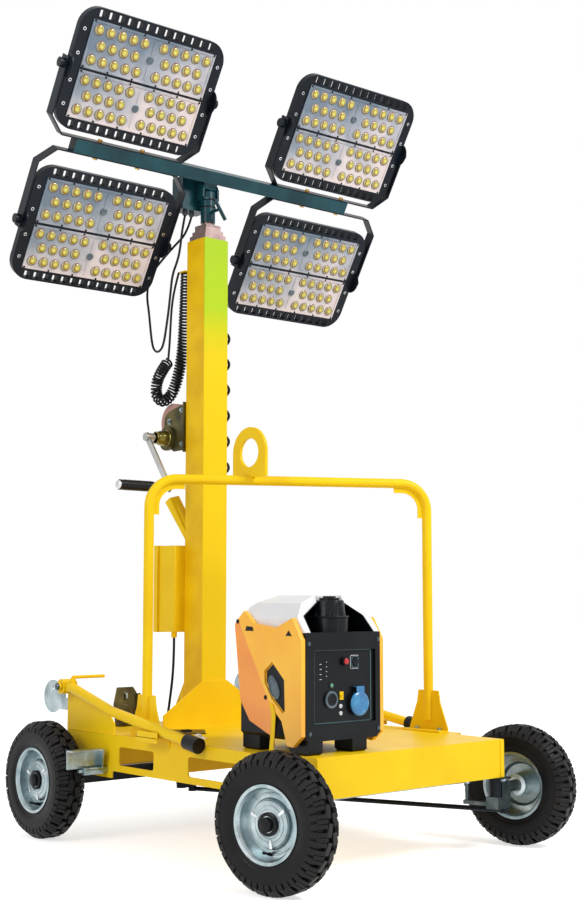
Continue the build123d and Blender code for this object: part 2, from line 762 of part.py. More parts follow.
# Winch on the rear of the mast: bracket, cheeks, drum and gear housing.
winch = box(rear_face - cheek_t, rear_face, mast_y - winch_half_width, mast_y + winch_half_width,
            winch_axis_z - winch_drop, winch_axis_z + winch_rise)
cheek_shape = (
    (0.05, -0.38),
    (0.56, -0.39),
    (0.96, -0.15),
    (1.0, 0.38),
    (0.65, 0.83),
    (0.05, 0.94),
)
cheek_points = [
    (rear_face - reach * winch_depth, winch_axis_z + rise * winch_rise)
    for reach, rise in cheek_shape
]
for y0 in (mast_y - winch_half_width + cheek_t, mast_y + winch_half_width - 2 * cheek_t):
    winch += plate_xz(cheek_points, y0, cheek_t)
drum_length = 2 * winch_half_width - 4 * cheek_t
winch += Pos(winch_axis_x, mast_y, winch_axis_z) * Rot(90, 0, 0) * Cylinder(28, drum_length)
winch += Pos(winch_axis_x + 8, mast_y, winch_axis_z + 62) * Rot(90, 0, 0) * Cylinder(
    46, drum_length
)
near_cheek = mast_y - winch_half_width
winch += Pos(winch_axis_x, near_cheek, winch_axis_z) * Rot(90, 0, 0) * Cylinder(46, 2 * cheek_t)
boss_length = 58.0
winch += Pos(winch_axis_x, near_cheek - boss_length / 2, winch_axis_z) * Rot(90, 0, 0) * Cone(
    30, 20, boss_length
)
shaft_r = 10.0
winch -= Pos(winch_axis_x, crank_y, winch_axis_z) * Rot(90, 0, 0) * Cylinder(
    shaft_r + running_gap, 250
)
parts["winch_body"] = winch

# Winch crank: shaft, cranked flat arm and grip.
arm_angle = math.radians(-crank_angle)
grip_x = winch_axis_x + crank_length * math.cos(arm_angle)
grip_z = winch_axis_z + crank_length * math.sin(arm_angle)
crank = rod((winch_axis_x, mast_y - 32, winch_axis_z), (winch_axis_x, crank_y - 8, winch_axis_z),
            shaft_r)
crank += rod((winch_axis_x, crank_y + 22, winch_axis_z), (winch_axis_x, crank_y - 14, winch_axis_z),
             16)
crank_bar = Pos((winch_axis_x + grip_x) / 2, crank_y - 4, (winch_axis_z + grip_z) / 2) * Rot(
    0, crank_angle, 0
) * Box(crank_length + 26, 8, 24)
crank += crank_bar
crank += rod((grip_x, crank_y, grip_z), (grip_x, crank_y - 84 - grip_length, grip_z), 7)
parts["winch_crank"] = crank
grip_start = crank_y - 80
parts["crank_grip"] = Pos(grip_x, grip_start - grip_length / 2, grip_z) * Rot(90, 0, 0) * (
    Cylinder(19, grip_length) - Cylinder(7.2, grip_length)
)

# Generator: black core with its control panel and fuel cap, two side shells and a top cover.
gen_back_x = gen_front_x - gen_length
gh = gen_width / 2
core_half = gh - shell_t
base_z = deck_z + gen_foot
panel_low, panel_top = deck_z + 52, deck_z + gen_panel_top
top_z = deck_z + gen_height
core = box(gen_back_x + 22, gen_front_x - 2, gen_y - core_half, gen_y + core_half, base_z,
           panel_top)
core = chamfer(core.edges().filter_by(Axis.X).group_by(Axis.Z)[0], 14)
core += box(gen_front_x - 20, gen_front_x, gen_y - core_half, gen_y + core_half, panel_low,
            panel_top)
core -= box(gen_front_x - 8, gen_front_x + 10, gen_y - 120, gen_y + 133, deck_z + 89,
            deck_z + 307)
for sx in (gen_front_x - 44, gen_back_x + 60):
    for sy in (-113, 68):
        foot = Pos(sx, gen_y + sy, deck_z + gen_foot / 2 + 3) * Box(80, 60, gen_foot + 6)
        core += chamfer(foot.edges().group_by(Axis.Z)[0], 6)
# Each table row: distance left of the middle, height over the deck, radius and stand-out.
controls = ((61, 144, 36, 12), (-48, 160, 24, 6), (8, 272, 13, 10), (49, 270, 12, 8))
for dy, dz, radius, out in controls:
    core += Pos(gen_front_x - 9 + out / 2, gen_y + dy, deck_z + dz) * Rot(0, 90, 0) * Cylinder(
        radius, out + 2
    )
core += box(gen_front_x - 9, gen_front_x + 8, gen_y + 44, gen_y + 78, deck_z + 178, deck_z + 194)
core += Pos(gen_back_x + 14, gen_y - 127, deck_z + 218) * Rot(0, 90, 0) * Cylinder(15, 40)
opening = (
    (gen_y - 131, panel_top),
    (gen_y - 124, panel_top + 50),
    (gen_y - 48, panel_top + 95),
    (gen_y + 48, panel_top + 95),
    (gen_y + 124, panel_top + 50),
    (gen_y + 131, panel_top),
)
recess_x = gen_front_x - 137
core += plate_yz(opening, recess_x, 12)
cap_x = gen_front_x - 64
core += Pos(cap_x, gen_y, panel_top + 24) * Cylinder(57, 52)
grip = Pos(cap_x, gen_y, panel_top + 73) * Cone(51, 44, 46)
flutes = [
    Pos(cap_x, gen_y, panel_top + 73) * Rot(0, 0, turn) * Pos(56, 0, 0) * Cylinder(11, 46)
    for turn in range(0, 360, 45)
]
core += grip - flutes
core += Pos(cap_x, gen_y, panel_top + (cap_height + 94) / 2) * Cylinder(31, cap_height - 90)
parts["generator_core"] = core

# Each pair is a point of the shell's edge: from the front and from the deck.
shell_edge = (
    (-301, 149), (-319, 381), (-270, 423), (-223, 385), (-119, 373), (-43, 404), (-2, 339),
    (-2, 57), (-41, 24), (-67, 27), (-92, 97), (-134, 132), (-148, 51), (-255, 88),
)
window_edge = (
    (-136, 270), (-80, 219), (-77, 128), (-87, 121), (-138, 162), (-171, 208), (-171, 244),
)
crease_x, crease_z = -0.519, 0.855
drop = 400 * math.tan(math.radians(facet_angle))
shells = None
for side in (1, -1):
    outer_y = gen_y + side * gh
    y0 = outer_y - shell_t + 0.3 if side > 0 else outer_y
    one = plate_xz([(gen_front_x + x, deck_z + z) for x, z in shell_edge], y0, shell_t - 0.3)
    crease = Plane(
        origin=(gen_front_x - 300, outer_y, deck_z + 400),
        x_dir=(-crease_z, 0, crease_x),
        z_dir=(-crease_x, 0, -crease_z),
    )
    wedge = make_face(Polyline((0, 0), (400, -side * drop), (400, side * 4), (0, side * 4),
                               close=True))
    one -= extrude(crease * wedge, 500, both=True)
    pocket_y = outer_y - 9 if side > 0 else outer_y - 4
    one -= plate_xz([(gen_front_x + x, deck_z + z) for x, z in window_edge], pocket_y, 13)
    shells = one if shells is None else shells + one
parts["generator_shells"] = shells

cover_side = (
    (gen_back_x + 8, panel_top),
    (gen_back_x + 2, panel_top + 20),
    (gen_back_x + 34, panel_top + 75),
    (gen_back_x + 90, top_z),
    (gen_front_x - 70, top_z),
    (gen_front_x - 44, panel_top + 50),
    (gen_front_x - 4, panel_top + 2),
    (gen_front_x - 4, panel_top),
)
cover_front = (
    (gen_y - core_half, panel_top),
    (gen_y - core_half, panel_top + 40),
    (gen_y - 118, panel_top + 88),
    (gen_y - 60, top_z),
    (gen_y + 60, top_z),
    (gen_y + 118, panel_top + 88),
    (gen_y + core_half, panel_top + 40),
    (gen_y + core_half, panel_top),
)
cover = plate_xz(cover_side, gen_y - gh, gen_width)
cover &= plate_yz(cover_front, gen_back_x - 10, gen_length + 20)
cover -= plate_yz(opening, recess_x, 200)
cover -= Pos(cap_x, gen_y, panel_top + 100) * Cylinder(55, 60)
parts["generator_cover"] = cover

# Head: a clamp that turns on the spigot, with two ears, a hand lever and the junction box.
pivot_z = bar_z - bar_lift * math.cos(math.radians(head_tilt))
head = Pos(mast_x, mast_y, pivot_z) * Rot(0, 0, head_yaw)
tilted = head * Rot(0, head_tilt, 0)
collar_low, collar_high = stage_top + 12, spigot_top_z + 8
ear_y = 34.0
pivot_hole = 8.0
clamp = Pos(0, 0, (collar_low + collar_high) / 2 - pivot_z) * (
    Cylinder(spigot_r + 8, collar_high - collar_low)
    - Pos(0, 0, -8) * Cylinder(spigot_r + running_gap, collar_high - collar_low)
)
for side in (1, -1):
    y0 = side * ear_y - 4
    ear = plate_xz(
        (
            (-20, collar_high - 24 - pivot_z),
            (20, collar_high - 24 - pivot_z),
            (20, -10),
            (9, 11),
            (-9, 11),
            (-20, -10),
        ),
        y0,
        8,
    )
    clamp += ear
clamp += Pos(0, 0, collar_high - 28 - pivot_z) * Box(52, 2 * ear_y, 8) - Pos(
    0, 0, collar_high - 60 - pivot_z
) * Cylinder(spigot_r + running_gap, 104)
clamp += rod((0, -ear_y - 4, 0), (0, ear_y + 4, 0), pivot_hole)
clamp += rod((spigot_r + 4, 0, -100), (spigot_r + 52, 0, -100), 6)
clamp += rod((spigot_r + 52, -14, -72), (spigot_r + 52, 30, -136), 7)
clamp += Pos(-66, -40, -box_drop) * Box(70, 112, box_height)
clamp += Pos(-30, 0, -60) * Box(12, 40, 24)
gland_points = ((-70, -58), (-70, -28))
for gx, gy in gland_points:
    clamp += Pos(gx, gy, -box_drop - box_height / 2 - 6) * Cylinder(8, 14)
parts["head_clamp"] = head * clamp
gland_low = pivot_z - box_drop - box_height / 2 - 15.4


def gland_at(number):
    """The centre of one gland under the junction box."""
    spot = (head * Pos(*gland_points[number], 0)).position
    return spot.X, spot.Y



# Cross bar with the pivot sleeve between the ears, set above the pin.
lift = bar_lift
bar_mid = (bar_right + bar_left) / 2
bar = Pos(0, bar_mid, lift) * (
    Box(bar_size, bar_left - bar_right, bar_size)
    - Box(bar_size - 2 * bar_wall, bar_left - bar_right, bar_size - 2 * bar_wall)
)
lug = Rot(90, 0, 0) * Cylinder(15, 2 * (ear_y - 4.4)) + Pos(0, 0, lift / 2 - 4) * Box(
    22, 2 * (ear_y - 4.4), lift - 16
)
bar += lug
bar -= Rot(90, 0, 0) * Cylinder(pivot_hole + 0.3, 200)
parts["cross_bar"] = tilted * bar

# Floodlights: a U bracket on the bar for each, a finned frame and two lens modules.
lamp_places = {
    "upper_right": (-416.5, 265.0, 1),
    "lower_right": (-416.5, -305.0, -1),
    "upper_left": (550.0, 265.0, 1),
    "lower_left": (550.0, -305.0, -1),
}
bar_top, bar_low = lift + bar_size / 2, lift - bar_size / 2
lamp_half = lamp_width / 2
inner_half = lamp_half + bracket_gap
outer_half = inner_half + bracket_plate
corner_cut = 60.0
brackets_all = None
for name, (u, offset, up) in lamp_places.items():
    v = lift + offset
    seat = bar_top if up > 0 else bar_low
    end = v + up * 28
    outer_profile = (
        (u - outer_half + corner_cut, seat),
        (u - outer_half, seat + up * corner_cut),
        (u - outer_half, end),
        (u - inner_half, end),
        (u - inner_half, seat + up * (corner_cut + 2)),
        (u - inner_half + corner_cut - 3, seat + up * bracket_plate),
        (u + inner_half - corner_cut + 3, seat + up * bracket_plate),
        (u + inner_half, seat + up * (corner_cut + 2)),
        (u + inner_half, end),
        (u + outer_half, end),
        (u + outer_half, seat + up * corner_cut),
        (u + outer_half - corner_cut, seat),
    )
    strap = plate_yz(outer_profile, -bracket_width / 2, bracket_width)
    strap -= Pos(0, u, v) * Rot(90, 0, 0) * Cylinder(pivot_r + 0.3, 2 * outer_half + 40)
    brackets_all = strap if brackets_all is None else brackets_all + strap
    slab = Box(lamp_frame_depth, lamp_width, lamp_height)
    slab = fillet(slab.edges().filter_by(Axis.X), lamp_corner)
    body = Pos(-lamp_frame_depth / 2 - lamp_body_depth / 2, 0, 0) * Box(
        lamp_body_depth, lamp_width - 90, lamp_height - 110
    )
    body = chamfer(body.faces().sort_by(Axis.X)[0].edges(), 24)
    fins = [
        Pos(-lamp_frame_depth / 2 - lamp_body_depth, row, 0)
        * Box(2 * (lamp_body_depth - 22), 16, lamp_height)
        for row in range(-216, 217, 54)
    ]
    vents = [
        Pos(0, row, sign * (lamp_height / 2 - 20)) * Box(2 * lamp_frame_depth, 22, 24)
        for row in range(-228, 229, 38)
        for sign in (1, -1)
    ]
    frame = (slab - vents) + (body - fins)
    deep = module_depth - 2
    for sign in (1, -1):
        zc = sign * (module_height + module_gap) / 2
        frame -= Pos(lamp_frame_depth / 2, 0, zc) * Box(
            2 * deep, module_width + 0.6, module_height + 0.6
        )
    for sign in (1, -1):
        pin = Pos(0, sign * (lamp_half + (bracket_gap + bracket_plate + 16) / 2 - 3), 0) * Rot(
            90, 0, 0
        ) * Cylinder(pivot_r, bracket_gap + bracket_plate + 16)
        knob = Pos(0, sign * (outer_half + 9), 0) * Rot(90, 0, 0) * Cylinder(17, 16)
        dial = Rot(90, 0, 0) * Cylinder(46, 4) - Pos(-60, 0, 0) * Box(120, 20, 120)
        frame += pin + knob + Pos(0, sign * (lamp_half + 1.6), 0) * dial
    modules = None
    for sign in (1, -1):
        zc = sign * (module_height + module_gap) / 2
        one = Pos(lamp_frame_depth / 2 - deep + module_depth / 2, 0, zc) * Box(
            module_depth, module_width, module_height
        )
        modules = one if modules is None else modules + one
    place = tilted * Pos(0, u, v)
    parts["lamp_frame_" + name] = place * frame
    parts["lamp_modules_" + name] = place * modules
parts["lamp_brackets"] = tilted * brackets_all

# Curly cord: its outer tube only, a hanging loop on the rear of the mast.
curl_points = (
    (near_x, curl_y, curl_top - 1),
    (near_x + 1, curl_y - 2, 1900),
    (near_x - 6, curl_y - 2, 1760),
    (near_x - 30, curl_y - 6, 1664),
    (near_x - 58, curl_y - 16, 1608),
    (near_x - 98, curl_y - 30, 1582),
    (near_x - 138, curl_y - 42, 1604),
    (near_x - 136, curl_y - 47, 1656),
    (near_x - 100, curl_y - 50, 1694),
    (near_x - 50, curl_y - 50, 1724),
)
parts["curly_cord"] = cord_tube(curl_points, curl_r)

# The thin lead from the coil's far end up to the same tab.
coil_lead_points = (
    (near_x - 46, curl_y - 50, 1727),
    (near_x - 32, curl_y - 54, 1786),
    (near_x - 24, curl_y - 56, 1860),
    (near_x - 20, curl_y - 54, 1940),
    (near_x - 12, curl_y - 46, 2010),
    (near_x - 4, curl_y - 34, curl_top - 0.3),
)
parts["coil_lead"] = cord_tube(coil_lead_points, lead_r)

# Lamp lead: a loop that hangs from one gland of the junction box and returns to the other.
lead_points = (
    (*gland_at(0), gland_low),
    (-516, -66, 2236),
    (-524, -69, 2160),
    (-531, -76, 2112),
    (-541, -92, 2060),
    (-548, -95, 1992),
    (-560, -95, 1918),
    (-574, -97, 1844),
    (-582, -98, 1808),
    (-596, -98, 1778),
    (-625, -98, 1766),
    (-653, -97, 1782),
    (-668, -96, 1818),
    (-684, -92, 1874),
    (-700, -88, 1938),
    (-728, -81, 2014),
    (-716, -72, 2092),
    (-660, -54, 2146),
    (-600, -36, 2196),
    (-540, -26, 2232),
    (*gland_at(1), gland_low),
)
parts["lamp_lead"] = cord_tube(lead_points, lead_r)

# Supply cable from the side box down behind the mast to the deck.
supply_points = (
    (gland_x, gland_y, 682),
    (gland_x, gland_y, 590),
    (gland_x - 2, gland_y - 10, 480),
    (gland_x - 14, gland_y - 20, 372),
)
parts["supply_cable"] = cord_tube(supply_points, 5)

# The frame's origin is the centre of the model's footprint on the ground.
solid_names = [n for n in parts if n not in ("curly_cord", "coil_lead", "lamp_lead", "supply_cable")]
bounds = Compound([parts[n] for n in solid_names]).bounding_box()
shift = Pos(-(bounds.min.X + bounds.max.X) / 2, -(bounds.min.Y + bounds.max.Y) / 2, -bounds.min.Z)
print("shift", shift.position)
os.makedirs("parts", exist_ok=True)
for name, shape in parts.items():
    moved = shift * shape
    export_step(moved, "parts/" + name + ".step")
    print(name, len(moved.solids()), round(moved.volume))
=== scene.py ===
# %% [markdown]
# # Mobile light tower
# The machine is a small steel deck on four pneumatic wheels. It carries a petrol generator, a
# guard hoop with a lifting eye, and a telescopic mast with four floodlights. This script loads
# the exact solids of the machine, gives them real finishes, and adds what the solids leave out:
# lenses, screws, tread blocks, cords, the winch strap and the small parts of the generator.

import json
import math

import bmesh
import bpy
from mathutils import Matrix, Vector


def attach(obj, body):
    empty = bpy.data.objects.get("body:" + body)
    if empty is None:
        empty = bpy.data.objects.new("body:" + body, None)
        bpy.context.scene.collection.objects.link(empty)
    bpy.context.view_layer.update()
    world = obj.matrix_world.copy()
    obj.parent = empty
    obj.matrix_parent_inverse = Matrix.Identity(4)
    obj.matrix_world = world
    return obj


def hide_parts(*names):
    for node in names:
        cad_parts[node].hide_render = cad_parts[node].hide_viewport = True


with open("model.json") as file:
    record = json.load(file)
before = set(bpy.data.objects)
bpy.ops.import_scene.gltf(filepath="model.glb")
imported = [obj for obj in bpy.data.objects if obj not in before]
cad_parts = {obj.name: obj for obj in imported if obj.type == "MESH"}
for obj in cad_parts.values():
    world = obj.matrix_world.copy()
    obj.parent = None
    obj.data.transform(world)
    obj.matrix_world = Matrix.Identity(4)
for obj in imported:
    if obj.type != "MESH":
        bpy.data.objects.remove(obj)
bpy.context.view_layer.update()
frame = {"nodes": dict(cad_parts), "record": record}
nodes = frame["nodes"]

# %% [markdown]
# ## Places
# The drawing of the machine has its own zero, in millimetres. One shift takes a drawn point to
# metres in the shared frame. The head turns a little and the bar leans back, so each has a
# matrix, and the lamps, wheels and lenses are placed with those.

# %% Turn drawn millimetres into places
shift = Vector((-0.00747502, -0.06621, 0.0))
mast_x, half_mast = -441.0, 56.0
rear_face, front_face = mast_x - half_mast, mast_x + half_mast
deck_z, deck_half_width = 366.0, 468.5
half_base, half_track = 602.0, 577.5
bar_lift, head_tilt, head_yaw = 47.0, math.radians(32), math.radians(-2)
pivot_z = 2433.6 - bar_lift * math.cos(head_tilt)


def at(x, y, z):
    """A drawn point, millimetres in, metres out."""
    return Vector((x, y, z)) / 1000 + shift


def turned_at(place, angle, axis):
    """A frame at the place, turned about one axis."""
    return Matrix.Translation(place) @ Matrix.Rotation(angle, 4, axis)


head_place = turned_at(at(mast_x, 0, pivot_z), head_yaw, "Z")
bar_place = head_place @ Matrix.Rotation(head_tilt, 4, "Y")
lamp_spots = {
    "upper_right": (-416.5, 265.0),
    "lower_right": (-416.5, -305.0),
    "upper_left": (550.0, 265.0),
    "lower_left": (550.0, -305.0),
}
lamp_places = {name: bar_place @ Matrix.Translation(Vector((0, u, bar_lift + rise)) / 1000) for name,
    (u, rise) in lamp_spots.items()}
print("lamps", {name: [round(v, 2) for v in m.translation] for name, m in lamp_places.items()})

# %% [markdown]
# ## Finishes
# Each finish is a small tree of shader nodes. Soft clouds of noise move the colour a little, a finer
# noise changes the gloss, and a bump gives the skin of the paint, zinc or rubber. A third, sparse noise
# lays dust or scuffs over it. All of them read Object coordinates, so a pattern stays on its piece when
# the piece moves.

# %% A finish from a few plain values


def feed(tree, node, inputs):
    """Link each input that is given a socket, and set the others."""
    for key, value in inputs.items():
        if isinstance(value, bpy.types.NodeSocket):
            tree.links.new(value, node.inputs[key])
        else:
            node.inputs[key].default_value = value
    return node


def add_node(tree, kind, inputs=None, **settings):
    """A new node with its settings, fed with the inputs."""
    made = tree.nodes.new(kind)
    for key, value in settings.items():
        setattr(made, key, value)
    return feed(tree, made, inputs or {})


def ramp_between(tree, source, stops):
    """A colour ramp fed by source, with (position, colour) stops."""
    ramp = tree.nodes.new("ShaderNodeValToRGB")
    while len(ramp.color_ramp.elements) < len(stops):
        ramp.color_ramp.elements.new(0.5)
    for element, (position, colour) in zip(ramp.color_ramp.elements, stops):
        element.position = position
        element.color = (*colour, 1)
    tree.links.new(source, ramp.inputs["Fac"])
    return ramp.outputs["Color"]


def noise(tree, coords, scale, detail=4.0):
    """A noise texture on Object coordinates."""
    texture = add_node(tree, "ShaderNodeTexNoise", {"Scale": scale, "Detail": detail, "Vector": coords})
    return texture.outputs["Fac"]


def layered(tree, under, over, amount):
    """The colour over laid on under, as much as amount says."""
    mix = add_node(tree, "ShaderNodeMix", {"Factor": amount, 6: under, 7: over}, data_type="RGBA")
    return mix.outputs[2]


def calc(tree, operation, *values):
    """A Math node's value from numbers or sockets."""
    return add_node(tree, "ShaderNodeMath", dict(enumerate(values)), operation=operation).outputs[0]


def reach_along(tree, vector, direction):
    """How far the vector reaches along the direction."""
    inputs = {0: vector, 1: direction}
    return add_node(tree, "ShaderNodeVectorMath", inputs, operation="DOT_PRODUCT").outputs["Value"]


def finish(
        name, colour, second, rough, metal=0.0, grain=60.0, bump=0.05, spread=0.1, coat=0.0,
        dust=None, cloud=7.0, shine=0.5):
    """A material: colour drifts towards second in soft clouds, with dust and a fine bump."""
    material = bpy.data.materials.new(name)
    material.use_nodes = True
    tree = material.node_tree
    shader = tree.nodes["Principled BSDF"]
    coords = tree.nodes.new("ShaderNodeTexCoord").outputs["Object"]
    clouds = noise(tree, coords, cloud, 5.0)
    fine = noise(tree, coords, grain)
    tint = ramp_between(tree, clouds, ((0.35, colour), (0.72, second)))
    if dust:
        sparse = noise(tree, coords, cloud * 2.3, 8.0)
        veil = ramp_between(tree, sparse, ((0.52, (0, 0, 0)), (0.80, (0.65, 0.65, 0.65))))
        tint = layered(tree, tint, (*dust, 1), veil)
    gloss = add_node(tree, "ShaderNodeMapRange", {"To Min": max(0.05, rough - spread),
        "To Max": min(1.0, rough + spread), "Value": fine})
    relief = add_node(tree, "ShaderNodeBump", {"Strength": bump, "Distance": 0.002, "Height": fine})
    feed(tree, shader, {
        "Base Color": tint, "Roughness": gloss.outputs["Result"], "Normal": relief.outputs["Normal"],
        "Metallic": metal, "Specular IOR Level": shine, "Coat Weight": coat, "Coat Roughness": 0.15,
    })
    return material


paint_main, paint_deep = (0.92, 0.62, 0.006), (0.86, 0.53, 0.004)
yellow = finish("yellow_paint", paint_main, paint_deep, 0.40, coat=0.04, cloud=5.0, shine=0.16)
navy = finish("dark_lamp_paint", (0.004, 0.006, 0.010), (0.009, 0.014, 0.022), 0.34, bump=0.12,
    shine=0.16)
teal = finish("teal_bar_paint", (0.003, 0.030, 0.042), (0.009, 0.070, 0.088), 0.3, shine=0.22)
black = finish("black_plastic", (0.004, 0.005, 0.006), (0.008, 0.010, 0.013), 0.34, bump=0.1,
    shine=0.16)
orange = finish("orange_plastic", (0.98, 0.41, 0.016), (0.92, 0.33, 0.012), 0.34, coat=0.3)
white = finish("white_plastic", (0.80, 0.80, 0.81), (0.70, 0.70, 0.73), 0.36, coat=0.2)
zinc = finish(
    "galvanised_steel", (0.22, 0.30, 0.32), (0.56, 0.63, 0.65), 0.30, metal=0.95, cloud=12.0,
    dust=(0.16, 0.17, 0.17))
dark_zinc = finish(
    "dark_casting", (0.050, 0.070, 0.078), (0.16, 0.19, 0.20), 0.36, metal=0.85, cloud=20.0)
rubber = finish(
    "tyre_rubber", (0.0045, 0.0048, 0.0060), (0.0090, 0.0090, 0.0105), 0.42, bump=0.2, grain=90.0,
    dust=(0.014, 0.012, 0.012), shine=0.16)
steel = finish("plain_steel", (0.27, 0.18, 0.165), (0.50, 0.36, 0.34), 0.36, metal=0.6, cloud=13.0)
olive = finish("passivated_steel", (0.040, 0.034, 0.010), (0.15, 0.12, 0.03), 0.34, metal=0.6,
    cloud=16.0)
cable = finish("cable_rubber", (0.004, 0.004, 0.005), (0.009, 0.009, 0.010), 0.34, shine=0.2)
bright = finish("bright_screw_steel", (0.55, 0.56, 0.58), (0.75, 0.76, 0.78), 0.3, metal=0.9)
brass = finish("brass", (0.36, 0.20, 0.05), (0.60, 0.38, 0.10), 0.35, metal=0.9)
blue = finish("blue_plastic", (0.01, 0.15, 0.36), (0.03, 0.27, 0.52), 0.28, coat=0.4, cloud=25.0)
red = finish("red_plastic", (0.50, 0.010, 0.015), (0.40, 0.008, 0.01), 0.3)
pink = finish("drum_strap", (0.62, 0.36, 0.30), (0.42, 0.22, 0.18), 0.6, grain=240.0, bump=0.3)
print("finishes", len(bpy.data.materials))

# %% [markdown]
# ## The mast's paint, with painted light and shade
# The mast's front face is painted as the lit face: lime green at its top, turning yellow further down.
# The right face, like every face but the front, is painted in shade: a deeper amber, a little mottled.
# The Object coordinate X tells the front face from the others, and the drift from lime to yellow
# follows Z.

# %% Paint for the mast, with painted light and shade


def mast_paint_light_and_shade(face_x):
    """Yellow paint with painted light and shade: a lit lime upper front face, shaded amber other faces.
    """
    material = yellow.copy()
    material.name = "mast_paint_light_and_shade"
    tree = material.node_tree
    shader = tree.nodes["Principled BSDF"]
    plain = shader.inputs["Base Color"].links[0].from_socket
    coords = tree.nodes.new("ShaderNodeTexCoord").outputs["Object"]
    split = add_node(tree, "ShaderNodeSeparateXYZ", {0: coords})
    lit_front_mask = calc(tree, "GREATER_THAN", split.outputs["X"], face_x - 0.003)
    height = add_node(tree, "ShaderNodeMapRange",
        {"From Min": 1.68, "From Max": 2.15, "Value": split.outputs["Z"]})
    # Painted light: the lit front face, lime at its top and yellow further down.
    front = ramp_between(
        tree,
        height.outputs["Result"],
        ((0.0, (0.84, 0.58, 0.004)), (0.28, (0.62, 0.58, 0.006)), (0.50, (0.34, 0.60, 0.012)),
         (1.0, (0.29, 0.56, 0.014))),
    )
    # Painted shade: the faces other than the front get a deeper amber, a little mottled.
    mottle = noise(tree, coords, 9.0, 8.0)
    amber = ramp_between(tree, mottle, ((0.36, (0.78, 0.45, 0.003)), (0.64, (0.92, 0.58, 0.004))))
    lit_and_shaded_faces = layered(tree, amber, front, lit_front_mask)
    result = layered(tree, plain, lit_and_shaded_faces, 0.85)
    tree.links.new(result, shader.inputs["Base Color"])
    return material


lit_and_shaded_mast = mast_paint_light_and_shade(at(front_face, 0, 0).x)
print("mast paint from x", round(at(front_face, 0, 0).x, 3))

# %% [markdown]
# ## The generator's shells
# The moulded side shells are a warm yellow orange above a slanting crease. Below it the facet turns a
# little away from the light, and its shade is painted as a deeper orange. The crease is a straight line
# in side view, so a dot product of the Object coordinates with its normal says on which side of it a
# spot lies.

# %% Lit orange above the crease and painted shade below it


def orange_with_painted_shade():
    """Yellow orange above the crease, painted shade of deeper orange below it."""
    material = orange.copy()
    material.name = "shell_orange_and_shade"
    tree = material.node_tree
    shader = tree.nodes["Principled BSDF"]
    coords = tree.nodes.new("ShaderNodeTexCoord").outputs["Object"]
    crease_normal = (-0.855, 0.0, -0.519)
    across = reach_along(tree, coords, crease_normal)
    top = at(290.0, 0, deck_z + 400.0)
    level = crease_normal[0] * top.x + crease_normal[2] * top.z
    side = add_node(tree, "ShaderNodeMapRange",
        {"From Min": level - 0.002, "From Max": level + 0.002, "Value": across})
    soft = noise(tree, coords, 6.0)
    upper = ramp_between(tree, soft, ((0.35, (0.98, 0.52, 0.020)), (0.7, (0.96, 0.43, 0.014))))
    # Painted shade: the facet below the crease is a deeper orange.
    lower = ramp_between(tree, soft, ((0.35, (0.94, 0.33, 0.010)), (0.7, (0.82, 0.22, 0.008))))
    lit_and_shaded_orange = layered(tree, upper, lower, side.outputs["Result"])
    tree.links.new(lit_and_shaded_orange, shader.inputs["Base Color"])
    return material


shell_orange_and_shade = orange_with_painted_shade()
print("shell paint ready")

# %% [markdown]
# ## Finishes on the solids
# The record says which slot each solid takes its finish from, so the solids are painted by one
# loop over their slots. A few solids then get a finish of their own. Pressed and welded steel
# has no knife edges, so a Weld, a planar Decimate and a small Bevel modifier round the corners
# of the plates and catch the light there. The solids' own meshes stay as they are.

# %% Paint the solids
slot_finish = {
    "yellow": yellow,
    "dark_frame": navy,
    "black_plastic": black,
    "orange": orange,
    "white": white,
    "zinc": zinc,
    "tyre": rubber,
    "steel": steel,
    "olive": olive,
    "lens": bright,
    "rubber": cable,
}
for part in frame["record"]["subparts"]:
    mesh = nodes[part["node"]].data
    mesh.materials.clear()
    mesh.materials.append(slot_finish[part["material_slot"]])
crank_grey = finish("crank_plating", (0.42, 0.42, 0.40), (0.70, 0.70, 0.68), 0.3, metal=0.9)
own_finish = {
    "mast_tube": lit_and_shaded_mast,
    "cross_bar": teal,
    "head_clamp": teal,
    "pedal_plate": olive,
    "winch_body": olive,
    "winch_crank": crank_grey,
    "knuckle_left": dark_zinc,
    "knuckle_right": dark_zinc,
    "generator_shells": shell_orange_and_shade,
}
for name, material in own_finish.items():
    nodes[name].data.materials[0] = material

# %% Round the hard edges
soft_edges = {
    "deck_frame": 1.6,
    "mast_tube": 3.5,
    "mast_brackets": 1.2,
    "mast_side_box": 1.5,
    "handle_brackets": 1.2,
    "hoop_feet": 1.2,
    "lifting_eye": 2.0,
    "lock_plates": 1.0,
    "cross_bar": 1.5,
    "lamp_brackets": 1.0,
    "generator_cover": 7.0,
    "generator_shells": 3.0,
    "generator_core": 1.5,
    "winch_body": 1.0,
    "brake_bars": 0.8,
    "pedal_plate": 1.2,
}
for name, width in soft_edges.items():
    weld = nodes[name].modifiers.new("weld", "WELD")
    weld.merge_threshold = 0.00002
    flatten = nodes[name].modifiers.new("flatten", "DECIMATE")
    flatten.decimate_type = "DISSOLVE"
    flatten.angle_limit = math.radians(1.0)
    bevel = nodes[name].modifiers.new("bevel", "BEVEL")
    bevel.width = width / 1000
    bevel.segments = 2
    bevel.limit_method = "ANGLE"
    bevel.angle_limit = math.radians(38)
    bevel.harden_normals = True
print("rounded", len(soft_edges), "of", len(nodes))

# %% [markdown]
# ## Camera
# The photograph was taken from the front right, low down, with a short telephoto lens. Its
# place was worked out from the wheels, the front beam, the mast and the lamps.

# %% Place the camera
camera_data = bpy.data.cameras.new("camera")
camera_data.sensor_width = 36.0
camera_data.lens = 54.89
camera = bpy.data.objects.new("camera", camera_data)
camera.location = at(3646.2, -3129.0, 832.3)
camera.rotation_euler = (math.radians(90 + 6.101), 0.0, math.radians(139.012 - 90))
bpy.context.scene.collection.objects.link(camera)
bpy.context.scene.camera = camera
print("camera", [round(v, 3) for v in camera.location])

